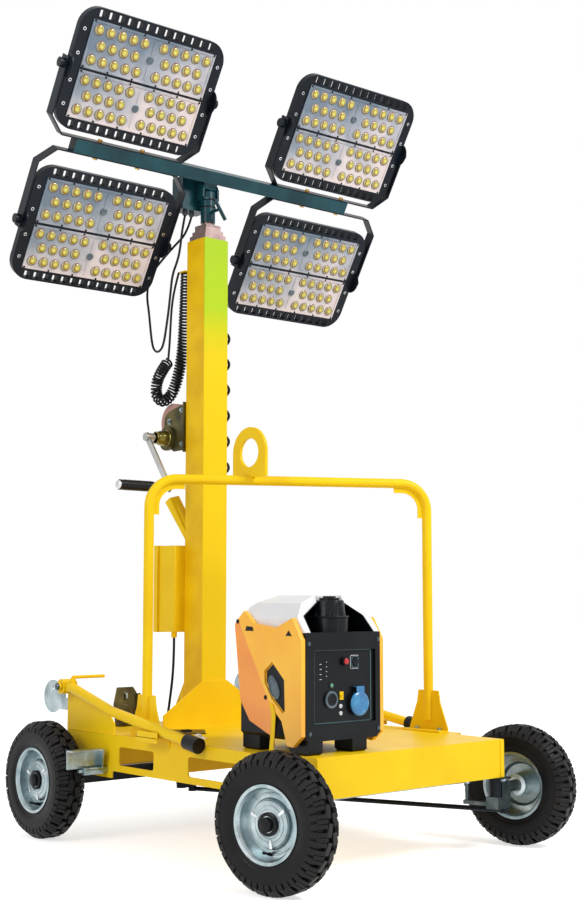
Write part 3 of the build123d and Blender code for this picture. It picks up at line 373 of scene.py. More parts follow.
# %% [markdown]
# ## Floor and light
# The photograph has a clean white background. The floor is pale and shows a little extra white
# to the camera only, so it merges with the white world and still keeps a soft shadow. Metal and
# clear plastic see the same white. A large soft lamp at the front left and above lights the
# faces that look forward, and a weaker one fills the right side.

# %% Make the floor


def white_for_camera(tree, strength):
    """Strength for rays from the camera and from gloss or glass, zero for the others."""
    rays = tree.nodes.new("ShaderNodeLightPath").outputs
    first = calc(tree, "MAXIMUM", rays["Is Camera Ray"], rays["Is Glossy Ray"])
    second = calc(tree, "MAXIMUM", first, rays["Is Transmission Ray"])
    return calc(tree, "MULTIPLY", second, strength)


floor_half = 30.0
floor_mesh = bpy.data.meshes.new("floor")
floor_corners = [
    (x * floor_half, y * floor_half, 0) for x, y in ((-1, -1), (1, -1), (1, 1), (-1, 1))
]
floor_mesh.from_pydata(floor_corners, [], [(0, 1, 2, 3)])
floor = bpy.data.objects.new("floor", floor_mesh)
bpy.context.scene.collection.objects.link(floor)
floor_paint = bpy.data.materials.new("floor_paint")
floor_paint.use_nodes = True
floor_shader = floor_paint.node_tree.nodes["Principled BSDF"]
feed(floor_paint.node_tree, floor_shader, {
    "Base Color": (0.88, 0.88, 0.88, 1), "Roughness": 0.95, "Emission Color": (1, 1, 1, 1),
    "Emission Strength": white_for_camera(floor_paint.node_tree, 0.62),
})
floor_mesh.materials.append(floor_paint)

# %% Light the scene
world = bpy.data.worlds.new("studio")
bpy.context.scene.world = world
world.use_nodes = True
world_tree = world.node_tree
background = world_tree.nodes["Background"]
sky_strength = calc(world_tree, "ADD", white_for_camera(world_tree, 0.50), 0.50)
feed(world_tree, background, {"Color": (1, 1, 1, 1), "Strength": sky_strength})


def soft_light(name, place, aim, size, power):
    """A square area light at place, turned to aim."""
    data = bpy.data.lights.new(name, "AREA")
    data.size = size
    data.energy = power
    light = bpy.data.objects.new(name, data)
    light.location = place
    light.rotation_euler = (Vector(aim) - Vector(place)).to_track_quat("-Z", "Y").to_euler()
    bpy.context.scene.collection.objects.link(light)


soft_light("key", (4.2, 1.4, 4.6), (0, 0, 1.2), 1.8, 230)
soft_light("side", (0.5, -5.0, 3.0), (0, 0, 1.0), 2.0, 80)
print("lights", len(bpy.data.lights))
bpy.context.scene.view_settings.view_transform = "Standard"

# %% [markdown]
# ## Tools for repeated parts
# Screws, bolts, lenses and tyre blocks repeat many times. A Geometry Nodes tree makes one of them from
# named sizes and sets a copy on each point of a small mesh. Every point may carry a turn, which
# the tree reads as an attribute. The tree ends in Realize Instances and Set Material, and the
# result becomes a plain mesh, so nothing is left to be worked out later.

# %% Build a tree and grow it on points


def new_tree(name, sizes):
    """An empty tree with a Geometry input and output, a Finish and the named sizes."""
    tree = bpy.data.node_groups.new(name, "GeometryNodeTree")
    tree.interface.new_socket("Geometry", in_out="INPUT", socket_type="NodeSocketGeometry")
    for size in sizes:
        tree.interface.new_socket(size, in_out="INPUT", socket_type="NodeSocketFloat")
    tree.interface.new_socket("Finish", in_out="INPUT", socket_type="NodeSocketMaterial")
    tree.interface.new_socket("Geometry", in_out="OUTPUT", socket_type="NodeSocketGeometry")
    return tree, tree.nodes.new("NodeGroupInput"), tree.nodes.new("NodeGroupOutput")


def moved_up(tree, shape, height):
    """The shape moved along its own Z by height."""
    together = add_node(tree, "ShaderNodeCombineXYZ", {"Z": height})
    inputs = {"Geometry": shape, "Translation": together.outputs[0]}
    return add_node(tree, "GeometryNodeTransform", inputs).outputs["Geometry"]


def disc(tree, radius, depth, sides):
    """A closed cylinder on Z."""
    shape = add_node(tree, "GeometryNodeMeshCylinder",
        {"Vertices": sides, "Radius": radius, "Depth": depth})
    return shape.outputs["Mesh"]


def joined(tree, shapes):
    """Several shapes as one."""
    join = tree.nodes.new("GeometryNodeJoinGeometry")
    for shape in shapes:
        tree.links.new(shape, join.inputs["Geometry"])
    return join.outputs["Geometry"]


def set_on_points(tree, group_in, group_out, shape):
    """One copy of the shape on each point, turned by the point's own turn."""
    turn = add_node(
        tree, "GeometryNodeInputNamedAttribute", {"Name": "turn"}, data_type="FLOAT_VECTOR")
    angle = add_node(tree, "FunctionNodeEulerToRotation", {"Euler": turn.outputs["Attribute"]})
    spread = add_node(tree, "GeometryNodeInstanceOnPoints", {
        "Rotation": angle.outputs["Rotation"], "Points": group_in.outputs["Geometry"],
        "Instance": shape,
    })
    real = add_node(tree, "GeometryNodeRealizeInstances", {"Geometry": spread.outputs["Instances"]})
    paint = add_node(tree, "GeometryNodeSetMaterial", {
        "Geometry": real.outputs["Geometry"], "Material": group_in.outputs["Finish"]})
    tree.links.new(paint.outputs["Geometry"], group_out.inputs["Geometry"])


def grow(name, body, tree, points, values, place=None, turns=(0, 0, 0), bevel=None):
    """Run the tree on the points. The plain mesh it makes rides on the body, in its place."""
    seeds = bpy.data.meshes.new(name + "_points")
    seeds.from_pydata([tuple(point) for point in points], [], [])
    turn = seeds.attributes.new("turn", "FLOAT_VECTOR", "POINT")
    if isinstance(turns, tuple):
        turns = [turns] * len(points)
    for index, angles in enumerate(turns):
        turn.data[index].vector = angles
    carrier = bpy.data.objects.new(name + "_carrier", seeds)
    bpy.context.scene.collection.objects.link(carrier)
    modifier = carrier.modifiers.new("grow", "NODES")
    modifier.node_group = tree
    for item in tree.interface.items_tree:
        if item.in_out == "INPUT" and item.name in values:
            modifier[item.identifier] = values[item.name]
    graph = bpy.context.evaluated_depsgraph_get()
    made = bpy.data.meshes.new_from_object(
        carrier.evaluated_get(graph), preserve_all_data_layers=True, depsgraph=graph)
    bpy.data.objects.remove(carrier)
    if place is not None:
        made.transform(place)
    result = bpy.data.objects.new(name, made)
    bpy.context.scene.collection.objects.link(result)
    if bevel:
        with_bevel(result, bevel, 1)
    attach(result, body)
    return result


# %% A tree for screws and bolts
bolt_tree, bolt_in, bolt_out = new_tree("bolt", ("Radius", "Height", "Washer"))
bolt_head = disc(bolt_tree, bolt_in.outputs["Radius"], bolt_in.outputs["Height"], 6)
bolt_head = moved_up(bolt_tree, bolt_head, calc(bolt_tree, "MULTIPLY", bolt_in.outputs["Height"], 0.6))
washer_depth = calc(bolt_tree, "MULTIPLY", bolt_in.outputs["Height"], 0.4)
washer = disc(bolt_tree, bolt_in.outputs["Washer"], washer_depth, 20)
set_on_points(bolt_tree, bolt_in, bolt_out, joined(bolt_tree, (bolt_head, washer)))

# %% A tree for round screw heads
screw_tree, screw_in, screw_out = new_tree("screw", ("Radius", "Height"))
screw_base = disc(screw_tree, screw_in.outputs["Radius"], screw_in.outputs["Height"], 14)
screw_top_r = calc(screw_tree, "MULTIPLY", screw_in.outputs["Radius"], 0.62)
screw_top = disc(screw_tree, screw_top_r, screw_in.outputs["Height"], 14)
screw_top = moved_up(screw_tree, screw_top, calc(screw_tree, "MULTIPLY", screw_in.outputs["Height"],
    0.4))
set_on_points(screw_tree, screw_in, screw_out, joined(screw_tree, (screw_base, screw_top)))
print("trees", [tree.name for tree in bpy.data.node_groups])

# %% [markdown]
# ## Tools for single parts
# Single small parts are built in mesh code: a plate from an outline, a ring or knob turned from
# a profile, and a line drawn as a thin tube. Each comes out as one closed mesh in its place.

# %% Build one mesh at a time


def as_object(name, shape, material, place=None, smooth=False):
    """The bmesh as an object, in its place, with outward faces."""
    bmesh.ops.remove_doubles(shape, verts=shape.verts, dist=0.00001)
    bmesh.ops.recalc_face_normals(shape, faces=shape.faces)
    mesh = bpy.data.meshes.new(name)
    shape.to_mesh(mesh)
    shape.free()
    if smooth:
        mesh.polygons.foreach_set("use_smooth", [True] * len(mesh.polygons))
        mesh.set_sharp_from_angle(angle=math.radians(40))
    if place is not None:
        mesh.transform(place)
    mesh.materials.append(material)
    made = bpy.data.objects.new(name, mesh)
    bpy.context.scene.collection.objects.link(made)
    return made


def add_box(shape, low, high):
    """A box between two corners, in metres."""
    low, high = Vector(low), Vector(high)
    made = bmesh.ops.create_cube(shape, size=1.0)
    size = high - low
    for vert in made["verts"]:
        vert.co = low + Vector((vert.co[i] + 0.5) * size[i] for i in range(3))


def add_turned(shape, profile, place=None, steps=28):
    """A solid turned about Z from (radius, height) points."""
    rings = []
    for radius, height in profile:
        ring = []
        for step in range(steps):
            angle = 2 * math.pi * step / steps
            spot = Vector((radius * math.cos(angle), radius * math.sin(angle), height))
            ring.append(shape.verts.new(place @ spot if place is not None else spot))
        rings.append(ring)
    for low, high in zip(rings, rings[1:]):
        for step in range(steps):
            after = (step + 1) % steps
            shape.faces.new((low[step], low[after], high[after], high[step]))
    if profile[0] == profile[-1]:
        return
    shape.faces.new(list(reversed(rings[0])))
    shape.faces.new(rings[-1])


def add_plate(shape, outline, thickness, place=None):
    """A flat plate from (x, y) points, thickness along Z."""
    low, high = [], []
    for x, y in outline:
        for ring, z in ((low, 0.0), (high, thickness)):
            spot = Vector((x, y, z))
            ring.append(shape.verts.new(place @ spot if place is not None else spot))
    count = len(outline)
    for step in range(count):
        after = (step + 1) % count
        shape.faces.new((low[step], low[after], high[after], high[step]))
    shape.faces.new(list(reversed(low)))
    shape.faces.new(high)


def with_bevel(piece, width, segments=2):
    """A Bevel modifier on the piece's hard edges."""
    bevel = piece.modifiers.new("bevel", "BEVEL")
    bevel.width = width
    bevel.segments = segments
    bevel.limit_method = "ANGLE"
    bevel.angle_limit = math.radians(35)
    return piece


def tube_on(name, points, radius, material):
    """A round tube along a smooth NURBS line through the drawn points."""
    data = bpy.data.curves.new(name, "CURVE")
    data.dimensions = "3D"
    spline = data.splines.new("NURBS")
    spline.points.add(len(points) - 1)
    for point, place in zip(spline.points, points):
        point.co = (*place, 1)
    spline.order_u = 3
    spline.use_endpoint_u = True
    spline.resolution_u = 6
    data.bevel_depth = radius
    data.bevel_resolution = 3
    data.use_fill_caps = True
    data.materials.append(material)
    made = bpy.data.objects.new(name, data)
    bpy.context.scene.collection.objects.link(made)
    return made


def thousandths(points):
    """Flat points from millimetres to metres."""
    return [(a / 1000, b / 1000) for a, b in points]


def border_bars(a0, a1, b0, b1, line):
    """The upper, lower, left and right bar of a rectangle's border."""
    return ((a0, a1, b1 - line, b1), (a0, a1, b0, b0 + line),
            (a0, a0 + line, b0, b1), (a1 - line, a1, b0, b1))


def band(inner, outer, low, high):
    """The closed profile of a plain ring, for add_turned."""
    return ((inner, low), (outer, low), (outer, high), (inner, high), (inner, low))


def finished(name, body, shape, material, place=None, smooth=False, bevel=None, segments=2):
    """The bmesh as a finished piece that rides on the body, with a bevel if one is named."""
    piece = as_object(name, shape, material, place, smooth)
    if bevel:
        with_bevel(piece, bevel, segments)
    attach(piece, body)
    return piece


print("tools ready")

# %% [markdown]
# ## Lens modules
# Each floodlight holds two long modules. A module is a pale plate with 28 glass lenses, seven columns
# left and seven right of a round plug. A lens is a low dome: the yellow chip shows through its middle,
# and the amber crescent to one side is painted light that the glass throws. The domes are grown on
# points. Each one keeps a record of where a spot lies on it, and the glass colour reads that.

# %% Glass that knows its own middle
lens_tree, lens_in, lens_out = new_tree("lens", ("Radius", "Rise"))
dome = add_node(lens_tree, "GeometryNodeMeshUVSphere",
    {"Segments": 18, "Rings": 9, "Radius": lens_in.outputs["Radius"]})
cup_r = calc(lens_tree, "MULTIPLY", lens_in.outputs["Radius"], 1.10)
cup_depth = calc(lens_tree, "MULTIPLY", lens_in.outputs["Rise"], 0.5)
cup = disc(lens_tree, cup_r, cup_depth, 18)
place_node = lens_tree.nodes.new("GeometryNodeInputPosition")
size_vector = add_node(
    lens_tree, "ShaderNodeCombineXYZ", {axis: lens_in.outputs["Radius"] for axis in ("X", "Y", "Z")})
share = add_node(
    lens_tree, "ShaderNodeVectorMath", {0: place_node.outputs[0], 1: size_vector.outputs[0]},
    operation="DIVIDE")
spot = add_node(
    lens_tree, "GeometryNodeStoreNamedAttribute",
    {"Name": "lens_spot", "Value": share.outputs[0],
     "Geometry": joined(lens_tree, (dome.outputs["Mesh"], cup))},
    data_type="FLOAT_VECTOR", domain="POINT")
squeeze = add_node(lens_tree, "ShaderNodeCombineXYZ", {"X": 1.0, "Y": 1.0, "Z": 0.42})
flat = add_node(lens_tree, "GeometryNodeTransform", {
    "Geometry": spot.outputs["Geometry"], "Scale": squeeze.outputs[0]})
smooth = add_node(lens_tree, "GeometryNodeSetShadeSmooth", {"Geometry": flat.outputs["Geometry"]})
set_on_points(lens_tree, lens_in, lens_out, smooth.outputs["Geometry"])


def lens_glass():
    """Olive yellow, paler in the middle, with a dark rim and a painted amber crescent of light to one
    side.
    """
    material = bpy.data.materials.new("lens_glass")
    material.use_nodes = True
    tree = material.node_tree
    shader = tree.nodes["Principled BSDF"]
    spot_node = add_node(tree, "ShaderNodeAttribute", attribute_name="lens_spot")
    split = add_node(tree, "ShaderNodeSeparateXYZ", {0: spot_node.outputs["Vector"]})
    distances = []
    for middle in ((0.0, 0.0), (-0.20, 0.30)):
        squares = []
        for axis, value in zip(("X", "Y"), middle):
            away = calc(tree, "SUBTRACT", split.outputs[axis], value)
            squares.append(calc(tree, "MULTIPLY", away, away))
        distances.append(calc(tree, "SQRT", calc(tree, "ADD", *squares)))
    body = ramp_between(
        tree,
        distances[0],
        (
            (0.0, (0.80, 0.74, 0.20)),
            (0.34, (0.60, 0.53, 0.06)),
            (0.66, (0.36, 0.28, 0.03)),
            (0.86, (0.56, 0.50, 0.26)),
            (0.98, (0.22, 0.21, 0.20)),
        ),
    )
    # Painted light: the amber crescent that the glass throws to one side.
    crescent = ramp_between(
        tree, distances[1],
        ((0.78, (0, 0, 0)), (0.90, (0.9, 0.9, 0.9)), (1.12, (0.9, 0.9, 0.9)), (1.24, (0, 0, 0))))
    feed(tree, shader, {
        "Base Color": layered(tree, body, (0.24, 0.045, 0.008, 1), crescent), "Roughness": 0.12,
        "Coat Weight": 0.2, "Coat Roughness": 0.04,
    })
    return material


def module_grey():
    """Blue grey at a module's upper left and a warm pale grey at its lower right."""
    material = finish("module_plate", (0.3, 0.3, 0.3), (0.4, 0.4, 0.4), 0.3, coat=0.2)
    tree = material.node_tree
    shader = tree.nodes["Principled BSDF"]
    spot_node = add_node(tree, "ShaderNodeAttribute", attribute_name="plate_spot")
    fade = reach_along(tree, spot_node.outputs["Vector"], (0.0, 0.9, -1.7))
    smoke = noise(tree, spot_node.outputs["Vector"], 9.0, 6.0)
    both = calc(tree, "MULTIPLY_ADD", smoke, 0.9, fade)
    steps = ((0.10, (0.13, 0.18, 0.24)), (0.42, (0.36, 0.38, 0.43)), (0.72, (0.70, 0.61, 0.60)))
    tree.links.new(ramp_between(tree, both, steps), shader.inputs["Base Color"])
    return material


glass = lens_glass()
plate_grey = module_grey()
plug_grey = finish("plug_grey", (0.05, 0.08, 0.10), (0.13, 0.17, 0.19), 0.3, cloud=60.0)


def keep_spots(piece, place):
    """Store where each vertex lies in its own lamp, for the module colour."""
    spots = piece.data.attributes.new("plate_spot", "FLOAT_VECTOR", "POINT")
    back = place.inverted()
    for number, vertex in enumerate(piece.data.vertices):
        spots.data[number].vector = back @ vertex.co


print("lens tree and glass ready")

# %% Plates, lenses, plugs and screws of the four lamps
module_half_y, module_half_z, module_middle = 0.2555, 0.0835, 0.0885
plate_face, frame_face = 0.0150, 0.0130
lens_r, lens_rise = 0.0182, 0.009
rows = ((0.052, (0.040, 0.0862, 0.1324, 0.1786, 0.2248)),
        (0.0, (0.0631, 0.1093, 0.1555, 0.2017)),
        (-0.052, (0.040, 0.0862, 0.1324, 0.1786, 0.2248)))
face_turn = (0.0, math.pi / 2, 0.0)
for name, place in lamp_places.items():
    body = "lamp_" + name
    shape = bmesh.new()
    lens_spots = []
    for sign in (1, -1):
        middle = sign * module_middle
        add_box(
            shape, (0.009, -module_half_y, middle - module_half_z),
            (plate_face, module_half_y, middle + module_half_z))
        for row, columns in rows:
            for column in columns:
                for side in (1, -1):
                    lens_spots.append((plate_face, side * column, middle + row))
    plates = as_object("lamp_plates_" + name, shape, plate_grey, place)
    keep_spots(plates, place)
    with_bevel(plates, 0.0015)
    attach(plates, body)
    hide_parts("lamp_modules_" + name)
    grow(
        "lamp_lenses_" + name, body, lens_tree, lens_spots,
        {"Radius": lens_r, "Rise": lens_rise, "Finish": glass}, place, face_turn)
    # Raised lips round the modules, a round plug and two notches in the middle of each.
    trim = bmesh.new()
    for sign in (1, -1):
        middle = sign * module_middle
        for low_y, high_y, low_z, high_z in border_bars(
                -module_half_y, module_half_y, -module_half_z, module_half_z, 0.007):
            add_box(trim, (plate_face - 0.001, low_y, middle + low_z),
                    (plate_face + 0.0028, high_y, middle + high_z))
        for low_z, high_z in ((0.022, 0.070), (-0.070, -0.022)):
            add_box(trim, (plate_face - 0.001, -0.0035, middle + low_z),
                    (plate_face + 0.0022, 0.0035, middle + high_z))
    lips = as_object("lamp_lips_" + name, trim, plate_grey, place)
    keep_spots(lips, place)
    with_bevel(lips, 0.001)
    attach(lips, body)
    plug = bmesh.new()
    for sign in (1, -1):
        turned = turned_at((plate_face, 0, sign * module_middle), math.pi / 2, "Y")
        add_turned(
            plug,
            ((0.0135, -0.001), (0.0135, 0.003), (0.011, 0.0055), (0.0085, 0.0055),
             (0.0075, 0.0042), (0.0, 0.0042)),
            turned, 20)
    finished("lamp_plugs_" + name, body, plug, plug_grey, place, smooth=True)
    small = []
    for sign in (1, -1):
        middle = sign * module_middle
        for side_z in (1, -1):
            for y in (-0.249, -0.150, -0.050, 0.050, 0.150, 0.249):
                small.append((plate_face + 0.0026, y, middle + side_z * 0.080))
    grow(
        "lamp_screws_" + name, body, screw_tree, small,
        {"Radius": 0.0040, "Height": 0.0022, "Finish": black}, place, face_turn)
    side_spots = [
        (frame_face, side * 0.279, z) for side in (1, -1) for z in (-0.132, -0.048, 0.048, 0.132)
    ]
    grow(
        "lamp_rings_" + name, body, screw_tree, side_spots,
        {"Radius": 0.0062, "Height": 0.003, "Finish": bright}, place, face_turn)
    grow(
        "lamp_ring_hearts_" + name, body, screw_tree,
        [(x + 0.0024, y, z) for x, y, z in side_spots],
        {"Radius": 0.0036, "Height": 0.0020, "Finish": black}, place, face_turn)
print("lenses per lamp", len(lens_spots))

# %% [markdown]
# ## Bolts of the cross bar and the lamp brackets
# Each U bracket is bolted through the bar with two brass coloured bolts, whose nuts show on the
# other side of the bar. Caps close the bar's ends, and the head gets glands, screws and bands.

# %% Bolts through the bar
bolt_points, bolt_turns = [], []
for u, rise in lamp_spots.values():
    up = 1 if rise > 0 else -1
    for step in (-90.0, 90.0):
        bolt_points.append(Vector((0, u + step, bar_lift + up * (24 + 5))) / 1000)
        bolt_turns.append((0.0, 0.0, 0.0) if up > 0 else (math.pi, 0.0, 0.0))
        bolt_points.append(Vector((0, u + step, bar_lift - up * 24)) / 1000)
        bolt_turns.append((math.pi, 0.0, 0.0) if up > 0 else (0.0, 0.0, 0.0))
grow(
    "bar_bolts", "bar", bolt_tree, bolt_points,
    {"Radius": 0.0085, "Height": 0.008, "Washer": 0.012, "Finish": brass}, bar_place, bolt_turns)
shape = bmesh.new()
for end in (-609.0, 665.0):
    side = 1 if end > 0 else -1
    low, high = sorted((end - side * 3, end + side * 0.5))
    add_box(shape, Vector((-21.0, low, bar_lift - 21)) / 1000,
        Vector((21.0, high, bar_lift + 21)) / 1000)
finished("bar_end_caps", "bar", shape, black, bar_place, bevel=0.002)
print("bar bolts", len(bolt_points))

# %% Gland nuts, box screws and hose clips of the head
shape = bmesh.new()
for x, y in ((-70.0, -58.0), (-70.0, -28.0)):
    spot = Matrix.Translation(Vector((x, y, -88.0)) / 1000)
    add_turned(shape, ((0.0, -0.0005), (0.0125, -0.0005), (0.0125, 0.003), (0.0, 0.003)), spot, 6)
    add_turned(
        shape, ((0.0, -0.0150), (0.0080, -0.0150), (0.0100, -0.0125), (0.0100, 0.0), (0.0, 0.0)),
        spot, 18)
head_glands = as_object("head_glands", shape, finish(
    "grey_gland", (0.10, 0.11, 0.12), (0.15, 0.16, 0.17), 0.45, bump=0.1), head_place)
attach(head_glands, "head")
lid_points = [Vector((-101.2, -40 + side * 48, z)) / 1000 for side in (1, -1) for z in (-78.0, 30.0)]
grow(
    "junction_box_screws", "head", screw_tree, lid_points,
    {"Radius": 0.004, "Height": 0.0025, "Finish": bright}, head_place, (0.0, -math.pi / 2, 0.0))
shape = bmesh.new()
for low, high in ((-81.0, -76.5), (-52.0, -47.5)):
    add_turned(shape, band(0.0286, 0.0312, low / 1000, high / 1000), None, 32)
finished("head_clamp_bands", "head", shape, black, head_place, smooth=True)
print("head parts ready")

# %% [markdown]
# ## Cords
# Four cords hang behind the mast: a curly cord with a thin lead that brings its end back up, the
# lead of the lamps in a long loop under the junction box, and the supply cable of the side box.
# A fifth, the spare lead, comes with the mast's trim. Each is one smooth NURBS line through the
# points of its route. The curly cord is a helix: a helper reads the route's smooth line, carries
# a frame along it without twist, and winds the strand round it turn by turn.

# %% The three plain cords
near_x = rear_face - 32.0


def plain_cord(name, solid, body, points, thick):
    """A cord of one NURBS line that stands for its solid."""
    places = [at(*point) for point in points]
    made = tube_on(name, places, thick / 2000, cable)
    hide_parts(solid)
    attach(made, body)
    length = route_length(places)
    print(name, "length", round(length, 3))
    return made


def smooth_route(places):
    """Points read along the smooth NURBS line of the places."""
    guide = tube_on("guide", places, 0.0, cable)
    guide.data.use_fill_caps = False
    guide.data.resolution_u = 24
    graph = bpy.context.evaluated_depsgraph_get()
    line = bpy.data.meshes.new_from_object(guide.evaluated_get(graph), depsgraph=graph)
    read = [vert.co.copy() for vert in line.vertices]
    bpy.data.objects.remove(guide)
    return read


def route_length(places):
    """The length of the smooth line through the places."""
    read = smooth_route(places)
    return sum((b - a).length for a, b in zip(read, read[1:]))


coil_lead_points = (
    (near_x - 46, -84, 1727), (near_x - 32, -88, 1786), (near_x - 24, -90, 1860),
    (near_x - 20, -88, 1940), (near_x - 12, -80, 2010), (near_x - 4, -68, 2067.7),
)
supply_points = (
    (rear_face - 18, -88, 682), (rear_face - 18, -88, 590), (rear_face - 20, -98, 480),
    (rear_face - 32, -108, 372),
)
gland_spots = [head_place @ (Vector((x, y, -103.4)) / 1000) for x, y in ((-70.0, -58.0),
    (-70.0, -28.0))]
gland_drawn = [(spot - shift) * 1000 for spot in gland_spots]
lamp_lead_points = (
    tuple(gland_drawn[0]), (-516, -66, 2236), (-524, -69, 2160), (-531, -76, 2112),
    (-541, -92, 2060), (-548, -95, 1992), (-560, -95, 1918), (-574, -97, 1844), (-582, -98, 1808),
    (-596, -98, 1778), (-625, -98, 1766), (-653, -97, 1782), (-668, -96, 1818), (-684, -92, 1874),
    (-700, -88, 1938), (-728, -81, 2014), (-716, -72, 2092), (-660, -54, 2146), (-600, -36, 2196),
    (-540, -26, 2232), tuple(gland_drawn[1]))
plain_cord("coil_return_lead", "coil_lead", "chassis", coil_lead_points, 9)
plain_cord("supply_cord", "supply_cable", "chassis", supply_points, 10)
plain_cord("lamp_loop_lead", "lamp_lead", "head", lamp_lead_points, 9)

# %% The curly cord
curl_route = (
    (near_x, -34, 2067), (near_x - 6, -36, 1900), (near_x - 18, -36, 1760), (near_x - 42, -40, 1664),
    (near_x - 66, -50, 1604), (near_x - 100, -64, 1576), (near_x - 132, -76, 1600),
    (near_x - 126, -81, 1652), (near_x - 92, -84, 1692), (near_x - 48, -84, 1724),
)
strand_r, coil_r, turn_pitch, steps_a_turn = 0.0042, 0.0195, 0.0118, 14


def wound_on(read, radius, pitch, steps):
    """Helix points round a smooth line, with a frame carried along it without twist."""
    lengths = [0.0]
    for a, b in zip(read, read[1:]):
        lengths.append(lengths[-1] + (b - a).length)
    turns = lengths[-1] / pitch
    count = int(turns * steps)
    points = []
    across = Vector((1, 0, 0))
    index = 0
    for step in range(count + 1):
        along = lengths[-1] * step / count
        while index < len(lengths) - 2 and lengths[index + 1] < along:
            index += 1
        part_way = (along - lengths[index]) / max(lengths[index + 1] - lengths[index], 1e-9)
        middle = read[index].lerp(read[index + 1], part_way)
        ahead = (read[index + 1] - read[index]).normalized()
        across = (across - ahead * across.dot(ahead)).normalized()
        other = ahead.cross(across)
        angle = 2 * math.pi * step / steps
        points.append(middle + across * (radius * math.cos(angle)) + other * (radius * math.sin(angle)))
    return points


curl_line = smooth_route([at(*point) for point in curl_route])
helix_points = wound_on(curl_line, coil_r, turn_pitch, steps_a_turn)
curly = tube_on("curly_cord_wound", helix_points, strand_r, cable)
curly.data.splines[0].resolution_u = 2
curly.data.bevel_resolution = 2
curly_length = route_length(helix_points)
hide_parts("curly_cord")
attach(curly, "chassis")
print("curly cord turns", len(helix_points) // steps_a_turn, "strand", round(curly_length, 2))

# %% [markdown]
# ## Wheels
# The dished rims are solids. A black seal and a dark cap close each hub, three bright tabs sit
# on the inner dish, rolled beads run round it, and a rubber valve stands near the rim's edge.
# These are turned or cut in each wheel's own frame and ride on the wheel.

# %% Hub caps, seals, valves, tabs and beads
steer = math.radians(12.3)
stub = 170.0


def steered(side):
    """The middle of a steered front wheel."""
    pin_y = side * (half_track - stub)
    return (half_base - side * stub * math.sin(steer), pin_y + side * stub * math.cos(steer), 200.0)


wheel_frames = {
    "front_right": (steered(-1), steer),
    "front_left": (steered(1), steer + math.pi),
    "rear_right": ((-half_base, -half_track, 200.0), 0.0),
    "rear_left": ((-half_base, half_track, 200.0), math.pi),
}
outward = Matrix.Rotation(math.pi / 2, 4, "X")


def turned_ring(shape, radius, height, half_width, rise, base):
    """A low rib turned about Z: it rises from the surface at height."""
    add_turned(
        shape,
        (
            (radius - half_width, height - base),
            (radius - half_width * 0.4, height + rise),
            (radius + half_width * 0.4, height + rise),
            (radius + half_width, height - base),
            (radius - half_width, height - base),
        ),
        None, 72)


for name, (centre, turn) in wheel_frames.items():
    body = "wheel_" + name
    wheel = turned_at(at(*centre), turn, "Z")
    face = wheel @ outward
    dark = bmesh.new()
    add_turned(
        dark,
        ((0.0235, 0.0340), (0.0330, 0.0340), (0.0330, 0.0372), (0.0300, 0.0392), (0.0235, 0.0392),
         (0.0235, 0.0340)),
        None, 36)
    add_turned(
        dark,
        ((0.0, 0.0365), (0.0205, 0.0365), (0.0205, 0.0440), (0.0180, 0.0485), (0.0110, 0.0510),
         (0.0, 0.0512)),
        None, 30)
    valve_way = Matrix.Translation((0.0, -0.0885, 0.0)) @ Matrix.Rotation(math.radians(-14), 4, "X")
    add_turned(
        dark,
        ((0.0, 0.0150), (0.0052, 0.0150), (0.0052, 0.0300), (0.0036, 0.0330), (0.0036, 0.0500),
         (0.0042, 0.0505), (0.0042, 0.0570), (0.0, 0.0575)),
        valve_way, 14)
    finished("hub_seal_" + name, body, dark, black, face, smooth=True)
    tabs = bmesh.new()
    for third in range(3):
        around = Matrix.Rotation(math.radians(120 * third + 38), 4, "Z")
        tab = Matrix.Translation((0.0560, 0.0, 0.0290))
        add_plate(
            tabs,
            ((-0.0120, -0.0022), (0.0100, -0.0048), (0.0120, 0.0), (0.0100, 0.0048), (-0.0120, 0.0022)),
            0.0034, around @ tab)
    finished("rim_tabs_" + name, body, tabs, bright, face)
    # Rolled beads in the dished disc.
    beads = bmesh.new()
    for radius, height, half_width in ((0.0845, 0.0165, 0.0030), (0.0500, 0.0298, 0.0022),
                                       (0.0395, 0.0312, 0.0022)):
        turned_ring(beads, radius, height, half_width, 0.0014, 0.0010)
    finished("rim_beads_" + name, body, beads, zinc, face, smooth=True)
print("wheels dressed", len(wheel_frames))

# %% [markdown]
# ## Tyres
# The tyre is a smooth round carcass with rows of rubber blocks. Its carcass is turned from half
# a section and its mirror. Each shoulder block is split by two sipes, so it is three narrow
# blocks side by side, with a lower block that runs down to the sidewall. Two rows of slanted
# blocks fill the crown. All blocks are grown on points with a turn, then bevelled a little.

# %% Tyre carcass and blocks
block_tree, block_in, block_out = new_tree("tread_block", ("Length", "Width", "Depth"))
block_size = add_node(
    block_tree, "ShaderNodeCombineXYZ",
    {"X": block_in.outputs["Length"], "Y": block_in.outputs["Width"], "Z": block_in.outputs["Depth"]})
block_box = add_node(block_tree, "GeometryNodeMeshCube", {"Size": block_size.outputs[0]})
set_on_points(block_tree, block_in, block_out, block_box.outputs["Mesh"])
block_rubber = finish(
    "worn_block_rubber", (0.0045, 0.0045, 0.0052), (0.014, 0.012, 0.0115), 0.5, bump=0.25,
    grain=120.0, shine=0.2)
tyre_half = (
    (0.1003, 0.0388), (0.1040, 0.0448), (0.1114, 0.0455), (0.1140, 0.0470), (0.1180, 0.0492),
    (0.1215, 0.0492), (0.1225, 0.0504), (0.1300, 0.0522), (0.1400, 0.0538), (0.1510, 0.0542),
    (0.1590, 0.0534), (0.1620, 0.0538), (0.1640, 0.0512), (0.1720, 0.0470), (0.1775, 0.0410),
    (0.1815, 0.0330), (0.1855, 0.0230), (0.1885, 0.0120), (0.1892, 0.0),
)
pitches = 24
